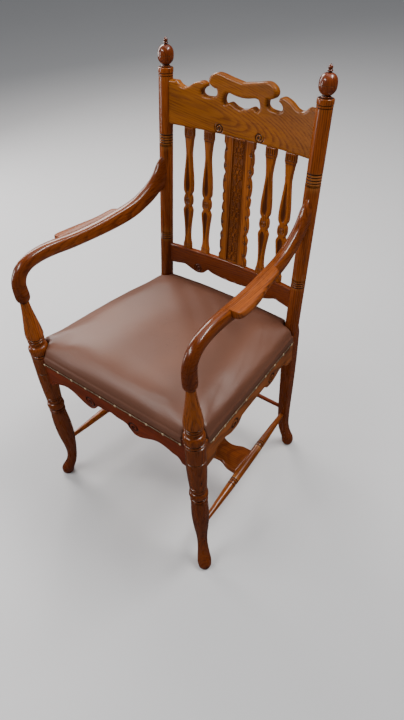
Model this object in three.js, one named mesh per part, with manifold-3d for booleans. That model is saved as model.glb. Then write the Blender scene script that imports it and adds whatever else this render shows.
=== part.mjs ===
// Captains chair: turned and sawn oak frame, open arms, carved back, domed leather seat.
// Millimetres, +Z up, the sitter faces -Y. The front leg axes stand at y = 0 until the chair is centred.
import * as THREE from "three";
import Module from "manifold-3d";
import { mergeVertices } from "three/addons/utils/BufferGeometryUtils.js";

const wasm = await Module();
wasm.setup();

// Stance
const frontLegSpread = 253; // front leg axis to the middle plane
const backPostSpread = 217; // back post axis to the middle plane
const legDepth = 467; // front leg axis to back post axis at the seat line
const seatLine = 481; // height where the back posts leave the seat
const postRake = 6.75; // degrees that the back leans

// Clearances
const fit = 0.3; // gap between touching pieces
const overrun = 40; // how far a cutting solid runs past what it cuts

// Front legs, turned
const frontLegRadius = 24.5;
const legTorusRadius = 25;
const legTorusHeight = 513;
const vaseFootHeight = 549;
const armSocketHeight = 657.6;
const legRingHeight = 306;
const legRingRadius = 23;
const footKick = 24; // how far the front feet turn out along the diagonal
const legTenonRadius = 7;
const legTenonLength = 26;

// Back legs and posts
const postRadius = 18;
const postTop = 572; // along the post, from the seat line
const upperRingsPlace = 402;
const lowerRingsPlace = 137;
const upperRingCount = 5;
const lowerRingCount = 4;
const ringPitch = 5.2;
const ringGroove = 1.3;
const backFootKick = 17;
const finialHeight = 64;
const finialRadius = 19.5;
const finialDowelRadius = 6;
const finialDowelLength = 22;

// Arms
const armRise = 84; // from the leg's top to the level stretch
const armDepth = 35; // of the section, on the level stretch
const armWidth = 29;
const armTailHeight = 799;
const padReach = 19; // how far the pad stands out from the arm's side
const padThickness = 22;
const padStart = 137;
const padEnd = 327;
const armScrewLength = 52;
const armScrewSink = 9;

// Back
const bowSag = 22; // how far the back bows behind the posts
const crestFoot = 443; // along the back, from the seat line
const crestHeight = 135;
const crestThickness = 22;
const lowerRailTop = 110;
const lowerRailDepth = 66;
const lowerRailThickness = 15;
const outerSpindlePlace = 148;
const innerSpindlePlace = 91;
const spindlePlaces = [-outerSpindlePlace, -innerSpindlePlace, innerSpindlePlace, outerSpindlePlace];
const spindleWidth = 28;
const spindleThickness = 14;
const splatWidth = 88;
const splatThickness = 12;
const backTenon = 8; // depth of the spindle and splat tenons
const backTenonThickness = 7;
const crestTenonPlace = 493;
const crestTenonHeight = 62;
const lowerTenonPlace = 82;
const lowerTenonHeight = 34;

// Seat frame
const railRise = 12; // from the seat line to the front rail's top, at its face
const railTop = seatLine + railRise;
const seatFallShare = 0.055; // drop for each unit of depth
const railThickness = 22;
const frontRailFace = 11.5; // in front of the leg axis
const sideRailFaceFront = 20.5; // outside the line of the leg axes, at the front legs
const sideRailFaceBack = 15.5;
const rearRailFace = 11;
const railDepth = 65; // at the flats of the scrolled edge
const frontLobeDepth = 25;
const sideLobeDepth = 13;
const rearRailDepth = 52;
const tenonThickness = 9;
const tenonHeight = 42;
const tenonDrop = 12; // below the rail's top
const tenonLength = 17; // in the front legs
const backLegTenonLength = 12;
const tenonRoot = 3; // how far a tenon is rooted in its own piece
const blockLeg = 62;
const blockHeight = 30;
const blockDrop = 14;
const blockScrewLength = 36;
const blockScrewPlaceShare = 0.6;
const blockScrewSink = 5;
const screwRadius = 2.2;
const screwHeadRadius = 4.5;
const screwHeadHeight = 3;
const plugRadius = 5.2;

// Stretchers
const stretcherHeight = 147;
const stretcherRadius = 12;
const stretcherEndRadius = 6.4;
const stretcherSink = 12; // how deep the ends enter the legs
const stretcherRingPlace = 76; // each side of the middle
const stretcherBead = 6;
const backStretcherHeight = 162;
const backStretcherRadius = 6.8;
const backStretcherEndRadius = 5.5;
const boardWidth = 88;
const boardThickness = 18;
const boardTenon = 7;
const boardTenonWidth = 18;
const boardTenonThickness = 9;

// Seat
const webbingThickness = 1.6;
const webbingWidth = 50;
const webbingPitch = 95;
const webbingRest = 12; // how far the webbing lies on the rails
const hessianThickness = 1;
const leather = 2;
const hem = 22; // leather hanging below the rail's top
const edgeRise = 10; // leather edge above the rail's top
const crown = 46;
const wallLean = 5; // how far the leather draws in at its top edge
const nailDrop = 15; // nail line below the rail's top
const nailRadius = 3.4;
const nailPitch = 49.5;
const weltHeight = 3.2;
const weltThickness = 1.2;

// Fineness, in steps
const turnedSides = 12;
const thinSides = 8;
const screwSides = 6;
const nailSides = 5;
const armSides = 12;
const curveSteps = 1;
const bowSteps = 10;
const seatStepsAcross = 12;
const seatStepsDeep = 10;
const seatStepsUp = 3;

// Materials
const wood = (color, roughness = 0.34) => new THREE.MeshStandardMaterial({ color, roughness });
const oak = () => wood(0x965a19);
const darkOak = () => wood(0x6e2d0f, 0.3);
const crestOak = () => wood(0x8c5514);
const beech = () => wood(0xb78d5c, 0.7);
const hide = () => new THREE.MeshStandardMaterial({ color: 0x8c695a, roughness: 0.5 });
const jute = () => new THREE.MeshStandardMaterial({ color: 0xa98d5f, roughness: 0.95 });
const hair = () => new THREE.MeshStandardMaterial({ color: 0x5a4636, roughness: 1 });
const brass = () => new THREE.MeshStandardMaterial({ color: 0x9c7a4a, roughness: 0.4, metalness: 0.9 });
const steel = () => new THREE.MeshStandardMaterial({ color: 0x8a8a88, roughness: 0.45, metalness: 0.9 });

const V = (x, y, z) => new THREE.Vector3(x, y, z);
const half = (length) => length / 2;
const mix = THREE.MathUtils.lerp;

// Closed geometry to solid and back

function toSolid(geometry) {
  const bare = geometry.clone();
  bare.deleteAttribute("normal");
  bare.deleteAttribute("uv");
  const merged = mergeVertices(bare);
  return new wasm.Manifold(
    new wasm.Mesh({
      numProp: 3,
      vertProperties: merged.attributes.position.array,
      triVerts: new Uint32Array(merged.index.array),
    }),
  );
}

function toGeometry(solid) {
  const mesh = solid.getMesh();
  const geometry = new THREE.BufferGeometry();
  geometry.setAttribute("position", new THREE.BufferAttribute(mesh.vertProperties, 3));
  geometry.setIndex(new THREE.BufferAttribute(mesh.triVerts, 1));
  geometry.computeVertexNormals();
  return geometry;
}

const cut = (geometry, ...tools) =>
  toGeometry(tools.reduce((solid, tool) => solid.subtract(toSolid(tool)), toSolid(geometry)));
const fuse = (geometry, ...more) =>
  toGeometry(more.reduce((solid, other) => solid.add(toSolid(other)), toSolid(geometry)));
const common = (one, other) => toGeometry(toSolid(one).intersect(toSolid(other)));

// Frames of the back and of the seat

const rake = THREE.MathUtils.degToRad(postRake);
const postDirection = V(0, Math.sin(rake), Math.cos(rake));
const backOrigin = V(0, legDepth, seatLine);
const backMatrix = new THREE.Matrix4().makeRotationX(-rake).setPosition(backOrigin);
const fromBack = (geometry) => geometry.clone().applyMatrix4(backMatrix);
const railPlane = (y) => railTop - seatFallShare * (y + frontRailFace);
const legLine = (y) => mix(frontLegSpread, backPostSpread, y / legDepth);
const sideFace = (y) => legLine(y) + mix(sideRailFaceFront, sideRailFaceBack, y / legDepth);
const bow = (u) => bowSag * (1 - (u / backPostSpread) ** 2);

// Basic shapes

// A closed skin of rings. Each station has its centre, two half sizes and their directions.
function skin(stations, sides) {
  const rings = stations.length;
  const geometry = mergeVertices(
    new THREE.CylinderGeometry(1, 1, 1, sides, rings - 1).deleteAttribute("normal").deleteAttribute("uv"),
  );
  const points = geometry.attributes.position;
  for (let i = 0; i < points.count; i++) {
    const ring = Math.round((points.getY(i) + half(1)) * (rings - 1));
    const { at, halves, across, along, power = 2 } = stations[ring];
    const squared = (c) => Math.sign(c) * Math.abs(c) ** (2 / power);
    const p = at.clone();
    p.addScaledVector(across, halves[0] * squared(points.getX(i)));
    p.addScaledVector(along, -halves[1] * squared(points.getZ(i)));
    points.setXYZ(i, p.x, p.y, p.z);
  }
  geometry.computeVertexNormals();
  return geometry;
}

// A turned piece about +Z from [place, radius] pairs.
function turned(profile, sides = turnedSides) {
  const first = profile[0][0];
  const last = profile[profile.length - 1][0];
  const points = [[first, 0], ...profile, [last, 0]].map(([z, r]) => new THREE.Vector2(r, z));
  return new THREE.LatheGeometry(points, sides).rotateX(half(Math.PI));
}

const rod = (radius, from, to, sides = thinSides) => turned([[from, radius], [to, radius]], sides);
const block = (width, depth, height) => new THREE.BoxGeometry(width, depth, height);

// Turns a piece made along +Z so that it runs from one point to another.
function lay(geometry, from, to) {
  const turn = new THREE.Quaternion().setFromUnitVectors(V(0, 0, 1), to.clone().sub(from).normalize());
  return geometry.applyQuaternion(turn).translate(from.x, from.y, from.z);
}

// A flat board: its outline in x and z, its thickness along y about y = 0.
function board(shape, thickness) {
  const sawn = { depth: thickness, bevelEnabled: false, curveSegments: curveSteps };
  return new THREE.ExtrudeGeometry(shape, sawn)
    .rotateX(half(Math.PI))
    .translate(0, half(thickness), 0);
}

// An outline of smooth runs, with a corner where one run meets the next.
function outline(runs, wide, high, shape = new THREE.Shape()) {
  const point = ([x, y]) => new THREE.Vector2(x * wide, y * high);
  const start = point(runs[0][0]);
  shape.moveTo(start.x, start.y);
  for (const run of runs) {
    if (run.length > 2) shape.splineThru(run.slice(1).map(point));
    else shape.lineTo(point(run[1]).x, point(run[1]).y);
  }
  return shape;
}

const mirrored = (runs) => [
  ...runs,
  ...runs.toReversed().map((run) => run.toReversed().map(([x, y]) => [-x, y])),
];

// Front legs

// [share of the stretch, share of the radius] from the floor up
const lowerLegShares = [
  [0, 0.66], [0.03, 0.76], [0.07, 0.8], [0.12, 0.7], [0.17, 0.61], [0.23, 0.56], [0.3, 0.56], [0.4, 0.64],
  [0.52, 0.78], [0.64, 0.88], [0.76, 0.91], [0.87, 0.87], [0.93, 0.83], [0.94, 0.87], [0.975, 0.87],
  [0.985, 0.82],
];
const footPathShares = [
  [0, 1], [0.05, 0.93], [0.1, 0.62], [0.17, 0.2], [0.27, -0.1], [0.4, -0.2], [0.6, -0.12], [0.85, 0],
];
const ringShares = [
  [-0.28, 0.98], [0, 1], [0.28, 0.98], [0.5, 0.88], [0.7, 0.8], [0.9, 0.79], [1.1, 0.85],
];
const cylinderShares = [[0, 0.85], [0.18, 0.91], [0.45, 0.99], [0.6, 1], [0.99, 1]];
const torusShares = [
  [-1.2, 1], [-1.15, 0.93], [-1.1, 0.97], [-0.85, 0.97], [-0.8, 0.9], [-0.5, 0.93], [0, 1], [0.45, 0.93],
  [0.7, 0.76], [1, 0.75],
];
const vaseShares = [
  [0.015, 0.9], [0.1, 0.92], [0.2, 0.88], [0.38, 0.78], [0.6, 0.63], [0.8, 0.51], [1, 0.45],
];
const neckBeadShares = [[-0.7, 0.78], [-0.6, 0.86], [-0.2, 0.87], [-0.1, 0.78]];
const ankleSwellShare = 0.1;
const legRingHalf = 9;
const legTorusHalf = 19;
const neckBead = 14;

function shareAt(table, place) {
  const next = table.findIndex(([s]) => s >= place);
  if (next < 0) return table[table.length - 1][1];
  if (next === 0) return table[0][1];
  const [a, b] = [table[next - 1], table[next]];
  return mix(a[1], b[1], (place - a[0]) / (b[0] - a[0]));
}

function frontLegProfile() {
  const ringFoot = legRingHeight - legRingHalf;
  const cylinderFoot = legRingHeight + 2 * legRingHalf;
  const cylinderTop = legTorusHeight + torusShares[0][0] * legTorusHalf;
  return [
    ...lowerLegShares.map(([s, r]) => [s * ringFoot, r * frontLegRadius]),
    ...ringShares.map(([s, r]) => [legRingHeight + s * legRingHalf, r * legRingRadius]),
    ...cylinderShares.map(([s, r]) => [mix(cylinderFoot, cylinderTop, s), r * frontLegRadius]),
    ...torusShares.slice(1).map(([s, r]) => [legTorusHeight + s * legTorusHalf, r * legTorusRadius]),
    ...neckBeadShares.map(([s, r]) => [vaseFootHeight + s * neckBead, r * frontLegRadius]),
    ...vaseShares.map(([s, r]) => [mix(vaseFootHeight, armSocketHeight, s), r * frontLegRadius]),
  ];
}

function ankleSwell(z) {
  const share = z / (legRingHeight - legRingHalf);
  return share < 1 ? 1 + ankleSwellShare * Math.sin(Math.PI * share) : 1;
}

// Centre of a front leg at a height, and the skin of the leg, grown by a clearance
function frontLegCentre(side, z) {
  const outward = V(side, -1, 0).normalize();
  const kick = footKick * shareAt(footPathShares, z / legRingHeight);
  return V(side * frontLegSpread, 0, z).addScaledVector(outward, kick);
}

function frontLegSkin(side, grow = 0) {
  const across = V(side, -1, 0).normalize();
  const along = V(0, 0, 1).cross(across);
  const stations = frontLegProfile().map(([z, radius]) => ({
    at: frontLegCentre(side, z),
    halves: [radius * ankleSwell(z) + grow, radius + grow],
    across,
    along,
  }));
  return skin(stations, turnedSides);
}

const armTenon = (side, grow = 0) =>
  rod(legTenonRadius + grow, armSocketHeight - legTenonRadius, armSocketHeight + legTenonLength + grow)
    .translate(side * frontLegSpread, 0, 0);

function frontLeg(side) {
  return cut(
    fuse(frontLegSkin(side), armTenon(side)),
    frontTenon(side, fit),
    sideTenon(side, "front", fit),
    sideStretcherBore(side, "front"),
  );
}

// Back legs, each with its post

// [share of the seat line's height, share of the kick, share of the post's radius, squareness]
const backLegShares = [
  [0, 1, 0.8, 2.4], [0.025, 1, 0.94, 2.4], [0.06, 0.85, 0.92, 2.4], [0.1, 0.5, 0.83, 2.6],
  [0.15, 0.15, 0.77, 3], [0.21, -0.08, 0.76, 4], [0.33, -0.15, 0.8, 5], [0.55, -0.05, 0.9, 5],
  [0.75, 0, 0.97, 5], [0.97, 0, 1, 5],
];
const collarShares = [
  [-0.075, 1], [-0.065, 0.9], [-0.055, 1], [-0.04, 1], [-0.03, 0.9], [-0.02, 1.04], [0, 1.04],
];

const grooves = (place, count) =>
  Array.from({ length: count }, (_, i) => place + (i - half(count - 1)) * ringPitch).flatMap((middle) => [
    [middle - half(ringPitch) + half(ringGroove), postRadius],
    [middle, postRadius - ringGroove],
    [middle + half(ringPitch) - half(ringGroove), postRadius],
  ]);

const postProfile = () => [
  [half(postRadius), postRadius],
  ...grooves(lowerRingsPlace, lowerRingCount),
  ...grooves(upperRingsPlace, upperRingCount),
  ...collarShares.map(([s, r]) => [postTop * (1 + s), r * postRadius]),
];

function backLegCentre(side, z) {
  const outward = V(side, 1, 0).normalize();
  const kick = backFootKick * shareAt(backLegShares, z / seatLine);
  return V(side * backPostSpread, legDepth, z).addScaledVector(outward, kick);
}

function backLegSkin(side, grow = 0) {
  const across = V(1, 0, 0);
  const leg = backLegShares.map(([z, , size, power]) => ({
    at: backLegCentre(side, z * seatLine),
    halves: [size * postRadius + grow, size * postRadius + grow],
    across,
    along: V(0, 1, 0),
    power,
  }));
  const post = postProfile().map(([v, radius]) => ({
    at: V(side * backPostSpread, 0, v).applyMatrix4(backMatrix),
    halves: [radius + grow, radius + grow],
    across,
    along: postDirection.clone().cross(across),
  }));
  return skin([...leg, ...post], turnedSides);
}

const finialBore = (side) =>
  rod(finialDowelRadius + fit, postTop - finialDowelLength - fit, postTop + overrun, turnedSides)
    .translate(side * backPostSpread, 0, 0);

function backLeg(side) {
  return cut(
    backLegSkin(side),
    fromBack(railTenon(side, crestTenonPlace, crestTenonHeight, fit)),
    fromBack(railTenon(side, lowerTenonPlace, lowerTenonHeight, fit)),
    fromBack(finialBore(side)),
    fromBack(armScrewBore(side)),
    sideTenon(side, "back", fit),
    rearTenon(side, fit),
    sideStretcherBore(side, "back"),
    backStretcherBore(side),
  );
}

// [share of the finial's height, share of its radius] above the collar
const finialShares = [
  [0, 0.56], [0.04, 0.56], [0.07, 0.44], [0.12, 0.5], [0.2, 0.76], [0.3, 0.95], [0.39, 1], [0.49, 0.96],
  [0.59, 0.78], [0.67, 0.5], [0.74, 0.25], [0.78, 0.22], [0.82, 0.27], [0.89, 0.26], [0.95, 0.17], [1, 0.05],
];

const finial = () =>
  turned([
    [-finialDowelLength, finialDowelRadius],
    [fit, finialDowelRadius],
    ...finialShares.map(([z, r]) => [fit + z * finialHeight, r * finialRadius]),
  ]);

// Arms

// [share of the reach to the post, share of the rise, share of the half depth, share of the half width,
// turn of the section in shares of a right angle]
const armShares = [
  [0, 0.004, 0.4, 0.48, 1], [0, 0.02, 0.68, 0.76, 1], [0, 0.075, 0.88, 0.96, 1], [0, 0.17, 1, 1.02, 1],
  [-0.001, 0.38, 1, 1.03, 1], [0, 0.58, 0.97, 1.02, 0.94], [0.01, 0.77, 0.97, 1, 0.78],
  [0.032, 0.945, 0.97, 1, 0.55], [0.066, 1.07, 0.98, 1, 0.31], [0.11, 1.13, 0.98, 1, 0.11],
  [0.17, 1.145, 1, 1, 0], [0.24, 1.11, 1, 1, 0], [0.32, 1.05, 1, 1, 0], [0.41, 1.005, 1, 1, 0],
  [0.51, 0.975, 1.06, 1, 0], [0.6, 0.97, 1.14, 1, 0], [0.69, 0.985, 1.2, 1, 0], [0.76, 1.04, 1.26, 1, 0],
  [0.805, 1.12, 1.34, 0.98, 0], [0.845, 1.2, 1.43, 0.96, 0], [0.88, 1.3, 1.55, 0.94, 0],
  [0.915, 1.44, 1.78, 0.92, 0], [0.945, 1.59, 2.2, 0.9, 0], [0.985, 1.68, 2.57, 0.88, 0],
];
const armPower = 2.9;

const armReach = legDepth + (armTailHeight - seatLine) * Math.tan(rake);
const armLine = (share) => mix(frontLegSpread, backPostSpread, share);
// Past the level stretch the arm climbs to the height at which its tail meets the post.
const lastRiseShare = armShares.at(-1)[1];
const tailRiseShare = (armTailHeight - armSocketHeight) / armRise;
const riseShare = (share) => (share > 1 ? mix(1, tailRiseShare, (share - 1) / (lastRiseShare - 1)) : share);
const armHeight = (share) => armSocketHeight + riseShare(share) * armRise;

function armSkin(side, grow = 0) {
  const run = V(side * (backPostSpread - frontLegSpread), armReach, 0).normalize();
  const across = V(-run.y, run.x, 0);
  const stations = armShares.map(([reach, rise, depth, width, turn]) => {
    const angle = half(Math.PI) * turn;
    return {
      at: V(side * armLine(reach), reach * armReach, armHeight(rise)),
      halves: [width * half(armWidth) + grow, depth * half(armDepth) + grow],
      across,
      along: V(0, 0, Math.cos(angle)).addScaledVector(run, -Math.sin(angle)),
      power: armPower,
    };
  });
  return skin(stations, armSides);
}

function arm(side) {
  return cut(armSkin(side), backLegSkin(side, fit), armTenon(side, fit), fromBack(armScrewBore(side)));
}

// [share of the pad's length, share of its reach]
const padShares = [
  [0, 0], [0.015, 0.6], [0.045, 0.93], [0.15, 1], [0.3, 1.02], [0.46, 1.02], [0.62, 1], [0.78, 0.92],
  [0.89, 0.7], [0.96, 0.35], [1, 0],
];
const padBevel = 4;
const padBevelSteps = 2;
const padSteps = 8;

function armPad(side) {
  const length = padEnd - padStart;
  const inner = half(half(armWidth));
  const back = Array.from({ length: padSteps + 1 }, (_, i) => [1 - i / padSteps, -inner / padReach]);
  const runs = [padShares, [padShares.at(-1), back[0]], back, [back.at(-1), padShares[0]]];
  const plate = new THREE.ExtrudeGeometry(outline(runs, length, padReach), {
    depth: padThickness - 2 * padBevel,
    curveSegments: curveSteps,
    bevelSize: padBevel,
    bevelThickness: padBevel,
    bevelOffset: -padBevel,
    bevelSegments: padBevelSteps,
  });
  const points = plate.attributes.position;
  const top = armShares.map(([reach, rise, depth]) => [reach, armHeight(rise) + depth * half(armDepth)]);
  for (let i = 0; i < points.count; i++) {
    const y = padStart + points.getX(i);
    const share = y / armReach;
    const x = side * (armLine(share) + half(armWidth) + points.getY(i));
    points.setXYZ(i, x, y, points.getZ(i) + shareAt(top, share) - padThickness + half(padBevel));
  }
  return cut(side > 0 ? flipped(plate) : plate, armSkin(side, fit));
}

// Turns a geometry's faces round after a mirroring move.
function flipped(geometry) {
  const turnedRound = geometry.index ? geometry.toNonIndexed() : geometry.clone();
  const points = turnedRound.attributes.position.array;
  for (let i = 0; i < points.length; i += 9) {
    const second = points.slice(i + 3, i + 6);
    points.copyWithin(i + 3, i + 6, i + 9);
    points.set(second, i + 6);
  }
  return turnedRound;
}

// Finials, crest rail, lower rail, splat and spindles, in the frame of the back

function bowedSlab(thickness, low, high) {
  const edge = (offset) =>
    Array.from({ length: bowSteps + 1 }, (_, i) => {
      const u = mix(-backPostSpread, backPostSpread, i / bowSteps);
      return new THREE.Vector2(u, bow(u) + offset);
    });
  const shape = new THREE.Shape([...edge(-half(thickness)), ...edge(half(thickness)).toReversed()]);
  return new THREE.ExtrudeGeometry(shape, { depth: high - low, bevelEnabled: false }).translate(0, 0, low);
}

const sawnDepth = 2 * (bowSag + crestThickness);
const postRod = (side, low, high) =>
  rod(postRadius + fit, low - overrun, high + overrun, turnedSides).translate(side * backPostSpread, 0, 0);

function railTenon(side, place, height, grow = 0) {
  const inner = backPostSpread - postRadius - tenonRoot;
  const length = tenonRoot + backLegTenonLength;
  return block(length + 2 * grow, backTenonThickness + 2 * grow, height + 2 * grow)
    .translate(side * (inner + half(length)), 0, place);
}

// Tenons at the ends of the spindles and the splat, or their mortises
const uprightTenonShare = 0.6;

function uprightTenons(place, width, thickness, grow = 0) {
  const size = [width * uprightTenonShare, half(thickness), backTenon + tenonRoot].map((s) => s + 2 * grow);
  const tenon = (middle) => block(...size).translate(place, bow(place), middle);
  const reach = half(backTenon - tenonRoot);
  return [tenon(lowerRailTop - reach), tenon(crestFoot + reach)];
}

const backMortises = () => [
  ...spindlePlaces.flatMap((place) => uprightTenons(place, spindleWidth, spindleThickness, fit)),
  ...uprightTenons(0, splatWidth, splatThickness, fit),
];

// Right half of the crest, from the middle of its foot to the middle of its top
const crestShares = [
  [[0, 0], [0.97, 0]],
  [[0.97, 0], [0.97, 0.767]],
  [[0.97, 0.767], [0.838, 0.767]],
  [[0.838, 0.767], [0.8, 0.71], [0.75, 0.681], [0.69, 0.7], [0.61, 0.78], [0.525, 0.822], [0.475, 0.8],
    [0.462, 0.745]],
  [[0.462, 0.745], [0.505, 0.7], [0.52, 0.637], [0.485, 0.592], [0.43, 0.585], [0.36, 0.6], [0.322, 0.65],
    [0.325, 0.74]],
  [[0.325, 0.74], [0.37, 0.748], [0.42, 0.8], [0.43, 0.874], [0.395, 0.95], [0.31, 1], [0.16, 0.955],
    [0, 0.911]],
];
const handHoleShares = [
  [[0, 0.481], [0.07, 0.51], [0.147, 0.563], [0.207, 0.519], [0.235, 0.58], [0.215, 0.68], [0.17, 0.707],
    [0.08, 0.68], [0, 0.67]],
];
const lowerRailShares = [
  [[0, 0.106], [0.18, 0.14], [0.3, 0.21], [0.35, 0.288]],
  [[0.35, 0.288], [0.39, 0.15], [0.43, 0.05], [0.507, 0], [0.6, 0.09], [0.7, 0.227], [0.8, 0.2],
    [0.97, 0.15]],
  [[0.97, 0.15], [0.97, 1]],
  [[0.97, 1], [0, 1]],
];

function bowedRail(shape, thickness, low, high, tenonPlace, tenonHeight) {
  const sawn = board(shape, sawnDepth).translate(0, 0, low);
  const bowed = common(sawn, bowedSlab(thickness, low - overrun, high + overrun));
  const coped = cut(bowed, postRod(-1, low, high), postRod(1, low, high));
  const tenons = [-1, 1].map((side) => railTenon(side, tenonPlace, tenonHeight));
  return cut(fuse(coped, ...tenons), ...backMortises());
}

function crestRail() {
  const shape = outline(mirrored(crestShares), backPostSpread, crestHeight);
  shape.holes.push(outline(mirrored(handHoleShares), backPostSpread, crestHeight, new THREE.Path()));
  const top = crestFoot + crestHeight;
  return bowedRail(shape, crestThickness, crestFoot, top, crestTenonPlace, crestTenonHeight);
}

function lowerBackRail() {
  const shape = outline(mirrored(lowerRailShares), backPostSpread, lowerRailDepth);
  const low = lowerRailTop - lowerRailDepth;
  return bowedRail(shape, lowerRailThickness, low, lowerRailTop, lowerTenonPlace, lowerTenonHeight);
}

// Right half of a spindle and of the splat, from the middle of the foot to the middle of the top
const spindleShares = [
  [[0, 0], [0.84, 0]],
  [[0.84, 0], [0.84, 0.045]],
  [[0.84, 0.045], [0.68, 0.07], [0.59, 0.13], [0.7, 0.23], [0.9, 0.31], [0.957, 0.348], [0.72, 0.381]],
  [[0.72, 0.381], [0.914, 0.425], [0.72, 0.477]],
  [[0.72, 0.477], [0.93, 0.505], [0.97, 0.55], [0.93, 0.61], [0.75, 0.7], [0.63, 0.785], [0.68, 0.85],
    [0.82, 0.915]],
  [[0.82, 0.915], [1, 0.94]],
  [[1, 0.94], [1, 1]],
  [[1, 1], [0, 1]],
];
const splatShares = [
  [[0, 0], [1, 0]],
  [[1, 0], [1, 0.05]],
  [[1, 0.05], [0.9, 0.075], [0.95, 0.11], [0.97, 0.2], [0.93, 0.245]],
  [[0.93, 0.245], [0.86, 0.265], [0.95, 0.3], [0.97, 0.38], [0.9, 0.5]],
  [[0.9, 0.5], [0.97, 0.62], [0.95, 0.7], [0.86, 0.735], [0.93, 0.755]],
  [[0.93, 0.755], [0.97, 0.8], [0.95, 0.89], [0.9, 0.925], [1, 0.95]],
  [[1, 0.95], [1, 1]],
  [[1, 1], [0, 1]],
];

function upright(shares, place, width, thickness) {
  const length = crestFoot - lowerRailTop - 2 * fit;
  const shape = outline(mirrored(shares), half(width), length);
  const sawn = board(shape, thickness).translate(place, bow(place), lowerRailTop + fit);
  return fuse(sawn, ...uprightTenons(place, width, thickness));
}

// Stretchers

const frontLegRadiusAt = (z) => shareAt(frontLegProfile(), z);
const backLegSizeShares = backLegShares.map(([s, , size]) => [s, size]);
const backLegRadiusAt = (z) => postRadius * shareAt(backLegSizeShares, z / seatLine);

function sideStretcherEnds(side) {
  const from = frontLegCentre(side, stretcherHeight);
  const to = backLegCentre(side, stretcherHeight);
  const way = to.clone().sub(from).normalize();
  return [
    from.clone().addScaledVector(way, frontLegRadiusAt(stretcherHeight) - stretcherSink),
    to.clone().addScaledVector(way, stretcherSink - backLegRadiusAt(stretcherHeight)),
  ];
}

function backStretcherEnds() {
  const reach = backLegRadiusAt(backStretcherHeight) - stretcherSink;
  return [1, -1].map((side) => backLegCentre(side, backStretcherHeight).add(V(-side * reach, 0, 0)));
}

// A leg's socket for one end of a stretcher, in line with the stretcher's own facets
function socket([from, to], radius, atStart) {
  const length = from.distanceTo(to);
  const stretch = atStart ? [-fit, overrun] : [length - overrun, length + fit];
  return lay(rod(radius + fit, ...stretch), from, to);
}

const sideStretcherBore = (side, end) => socket(sideStretcherEnds(side), stretcherEndRadius, end === "front");
const backStretcherBore = (side) => socket(backStretcherEnds(), backStretcherEndRadius, side > 0);

// [share of the bead's length past the ring place, share of the radius]
const stretcherRingShares = [
  [-1.1, 0.97], [-0.8, 0.8], [-0.5, 1], [-0.15, 1], [0, 0.8], [0.15, 1], [0.5, 1], [0.8, 0.8], [1.1, 0.92],
];
const stretcherWaistShare = 0.5;

function sideStretcherSkin(side, grow = 0) {
  const [from, to] = sideStretcherEnds(side);
  const reach = half(from.distanceTo(to));
  const right = [
    [0, stretcherRadius],
    ...stretcherRingShares.map(([s, r]) => [stretcherRingPlace + s * stretcherBead, r * stretcherRadius]),
    [half(stretcherRingPlace + reach), mix(stretcherEndRadius, stretcherRadius, stretcherWaistShare)],
    [reach - stretcherSink, stretcherEndRadius],
    [reach, stretcherEndRadius],
  ];
  const left = right.slice(1).toReversed().map(([z, r]) => [-z, r]);
  const profile = [...left, ...right].map(([z, r]) => [z + reach, r + grow]);
  return lay(turned(profile, thinSides), from, to);
}

const sideStretcher = (side) => cut(sideStretcherSkin(side), crossTenon(side, fit));

function backStretcher() {
  const [from, to] = backStretcherEnds();
  const length = from.distanceTo(to);
  const profile = [
    [0, backStretcherEndRadius],
    [stretcherSink, backStretcherEndRadius],
    [half(length), backStretcherRadius],
    [length - stretcherSink, backStretcherEndRadius],
    [length, backStretcherEndRadius],
  ];
  return lay(turned(profile, thinSides), from, to);
}

// Right rear quarter of the cross stretcher's outline, from the middle
const crossShares = [
  [0, 0.84], [0.15, 0.9], [0.36, 1], [0.52, 0.99], [0.58, 0.87], [0.64, 0.76], [0.71, 0.71], [0.77, 0.76],
  [0.83, 0.9], [0.88, 0.97], [1, 1],
];

function crossMiddle(side) {
  const [from, to] = sideStretcherEnds(side);
  return from.add(to).multiplyScalar(half(1));
}

function crossTenon(side, grow = 0) {
  const middle = crossMiddle(side);
  const length = tenonRoot + boardTenon;
  const inner = Math.abs(middle.x) - stretcherRadius - tenonRoot;
  return block(length + 2 * grow, boardTenonWidth + 2 * grow, boardTenonThickness + 2 * grow)
    .translate(side * (inner + half(length)), middle.y, middle.z);
}

function crossStretcher() {
  const middle = crossMiddle(1);
  const rear = [crossShares, [crossShares.at(-1), [1, 0]]];
  const right = [...rear, ...rear.toReversed().map((run) => run.toReversed().map(([x, y]) => [x, -y]))];
  const shape = outline(mirrored(right), middle.x, half(boardWidth));
  const plate = board(shape, boardThickness).rotateX(-half(Math.PI)).translate(0, middle.y, middle.z);
  const coped = cut(plate, sideStretcherSkin(-1, fit), sideStretcherSkin(1, fit));
  return fuse(coped, crossTenon(-1), crossTenon(1));
}

// Seat frame, its heights counted from the sloping plane of the rail tops

function onRailPlane(geometry) {
  const points = geometry.attributes.position;
  for (let i = 0; i < points.count; i++) points.setZ(i, points.getZ(i) + railPlane(points.getY(i)));
  return geometry;
}

const sideAngle = Math.atan2(sideFace(0) - sideFace(legDepth), legDepth);
const railAcross = railThickness / Math.cos(sideAngle);
const sideRun = legDepth / Math.cos(sideAngle);

// Lays a piece made along +X from the front leg's line onto the middle line of a side rail.
function alongSide(side, geometry) {
  return geometry
    .rotateZ(half(Math.PI) + side * sideAngle)
    .translate(side * (sideFace(0) - half(railAcross)), 0, 0);
}

const tenonMiddle = -tenonDrop - half(tenonHeight);
const railMiddle = half(railThickness) - frontRailFace;

function frontTenon(side, grow = 0) {
  const length = tenonRoot + tenonLength;
  const inner = frontLegSpread - frontLegRadius - tenonRoot;
  return onRailPlane(
    block(length + 2 * grow, tenonThickness + 2 * grow, tenonHeight + 2 * grow)
      .translate(side * (inner + half(length)), railMiddle, tenonMiddle),
  );
}

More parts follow.
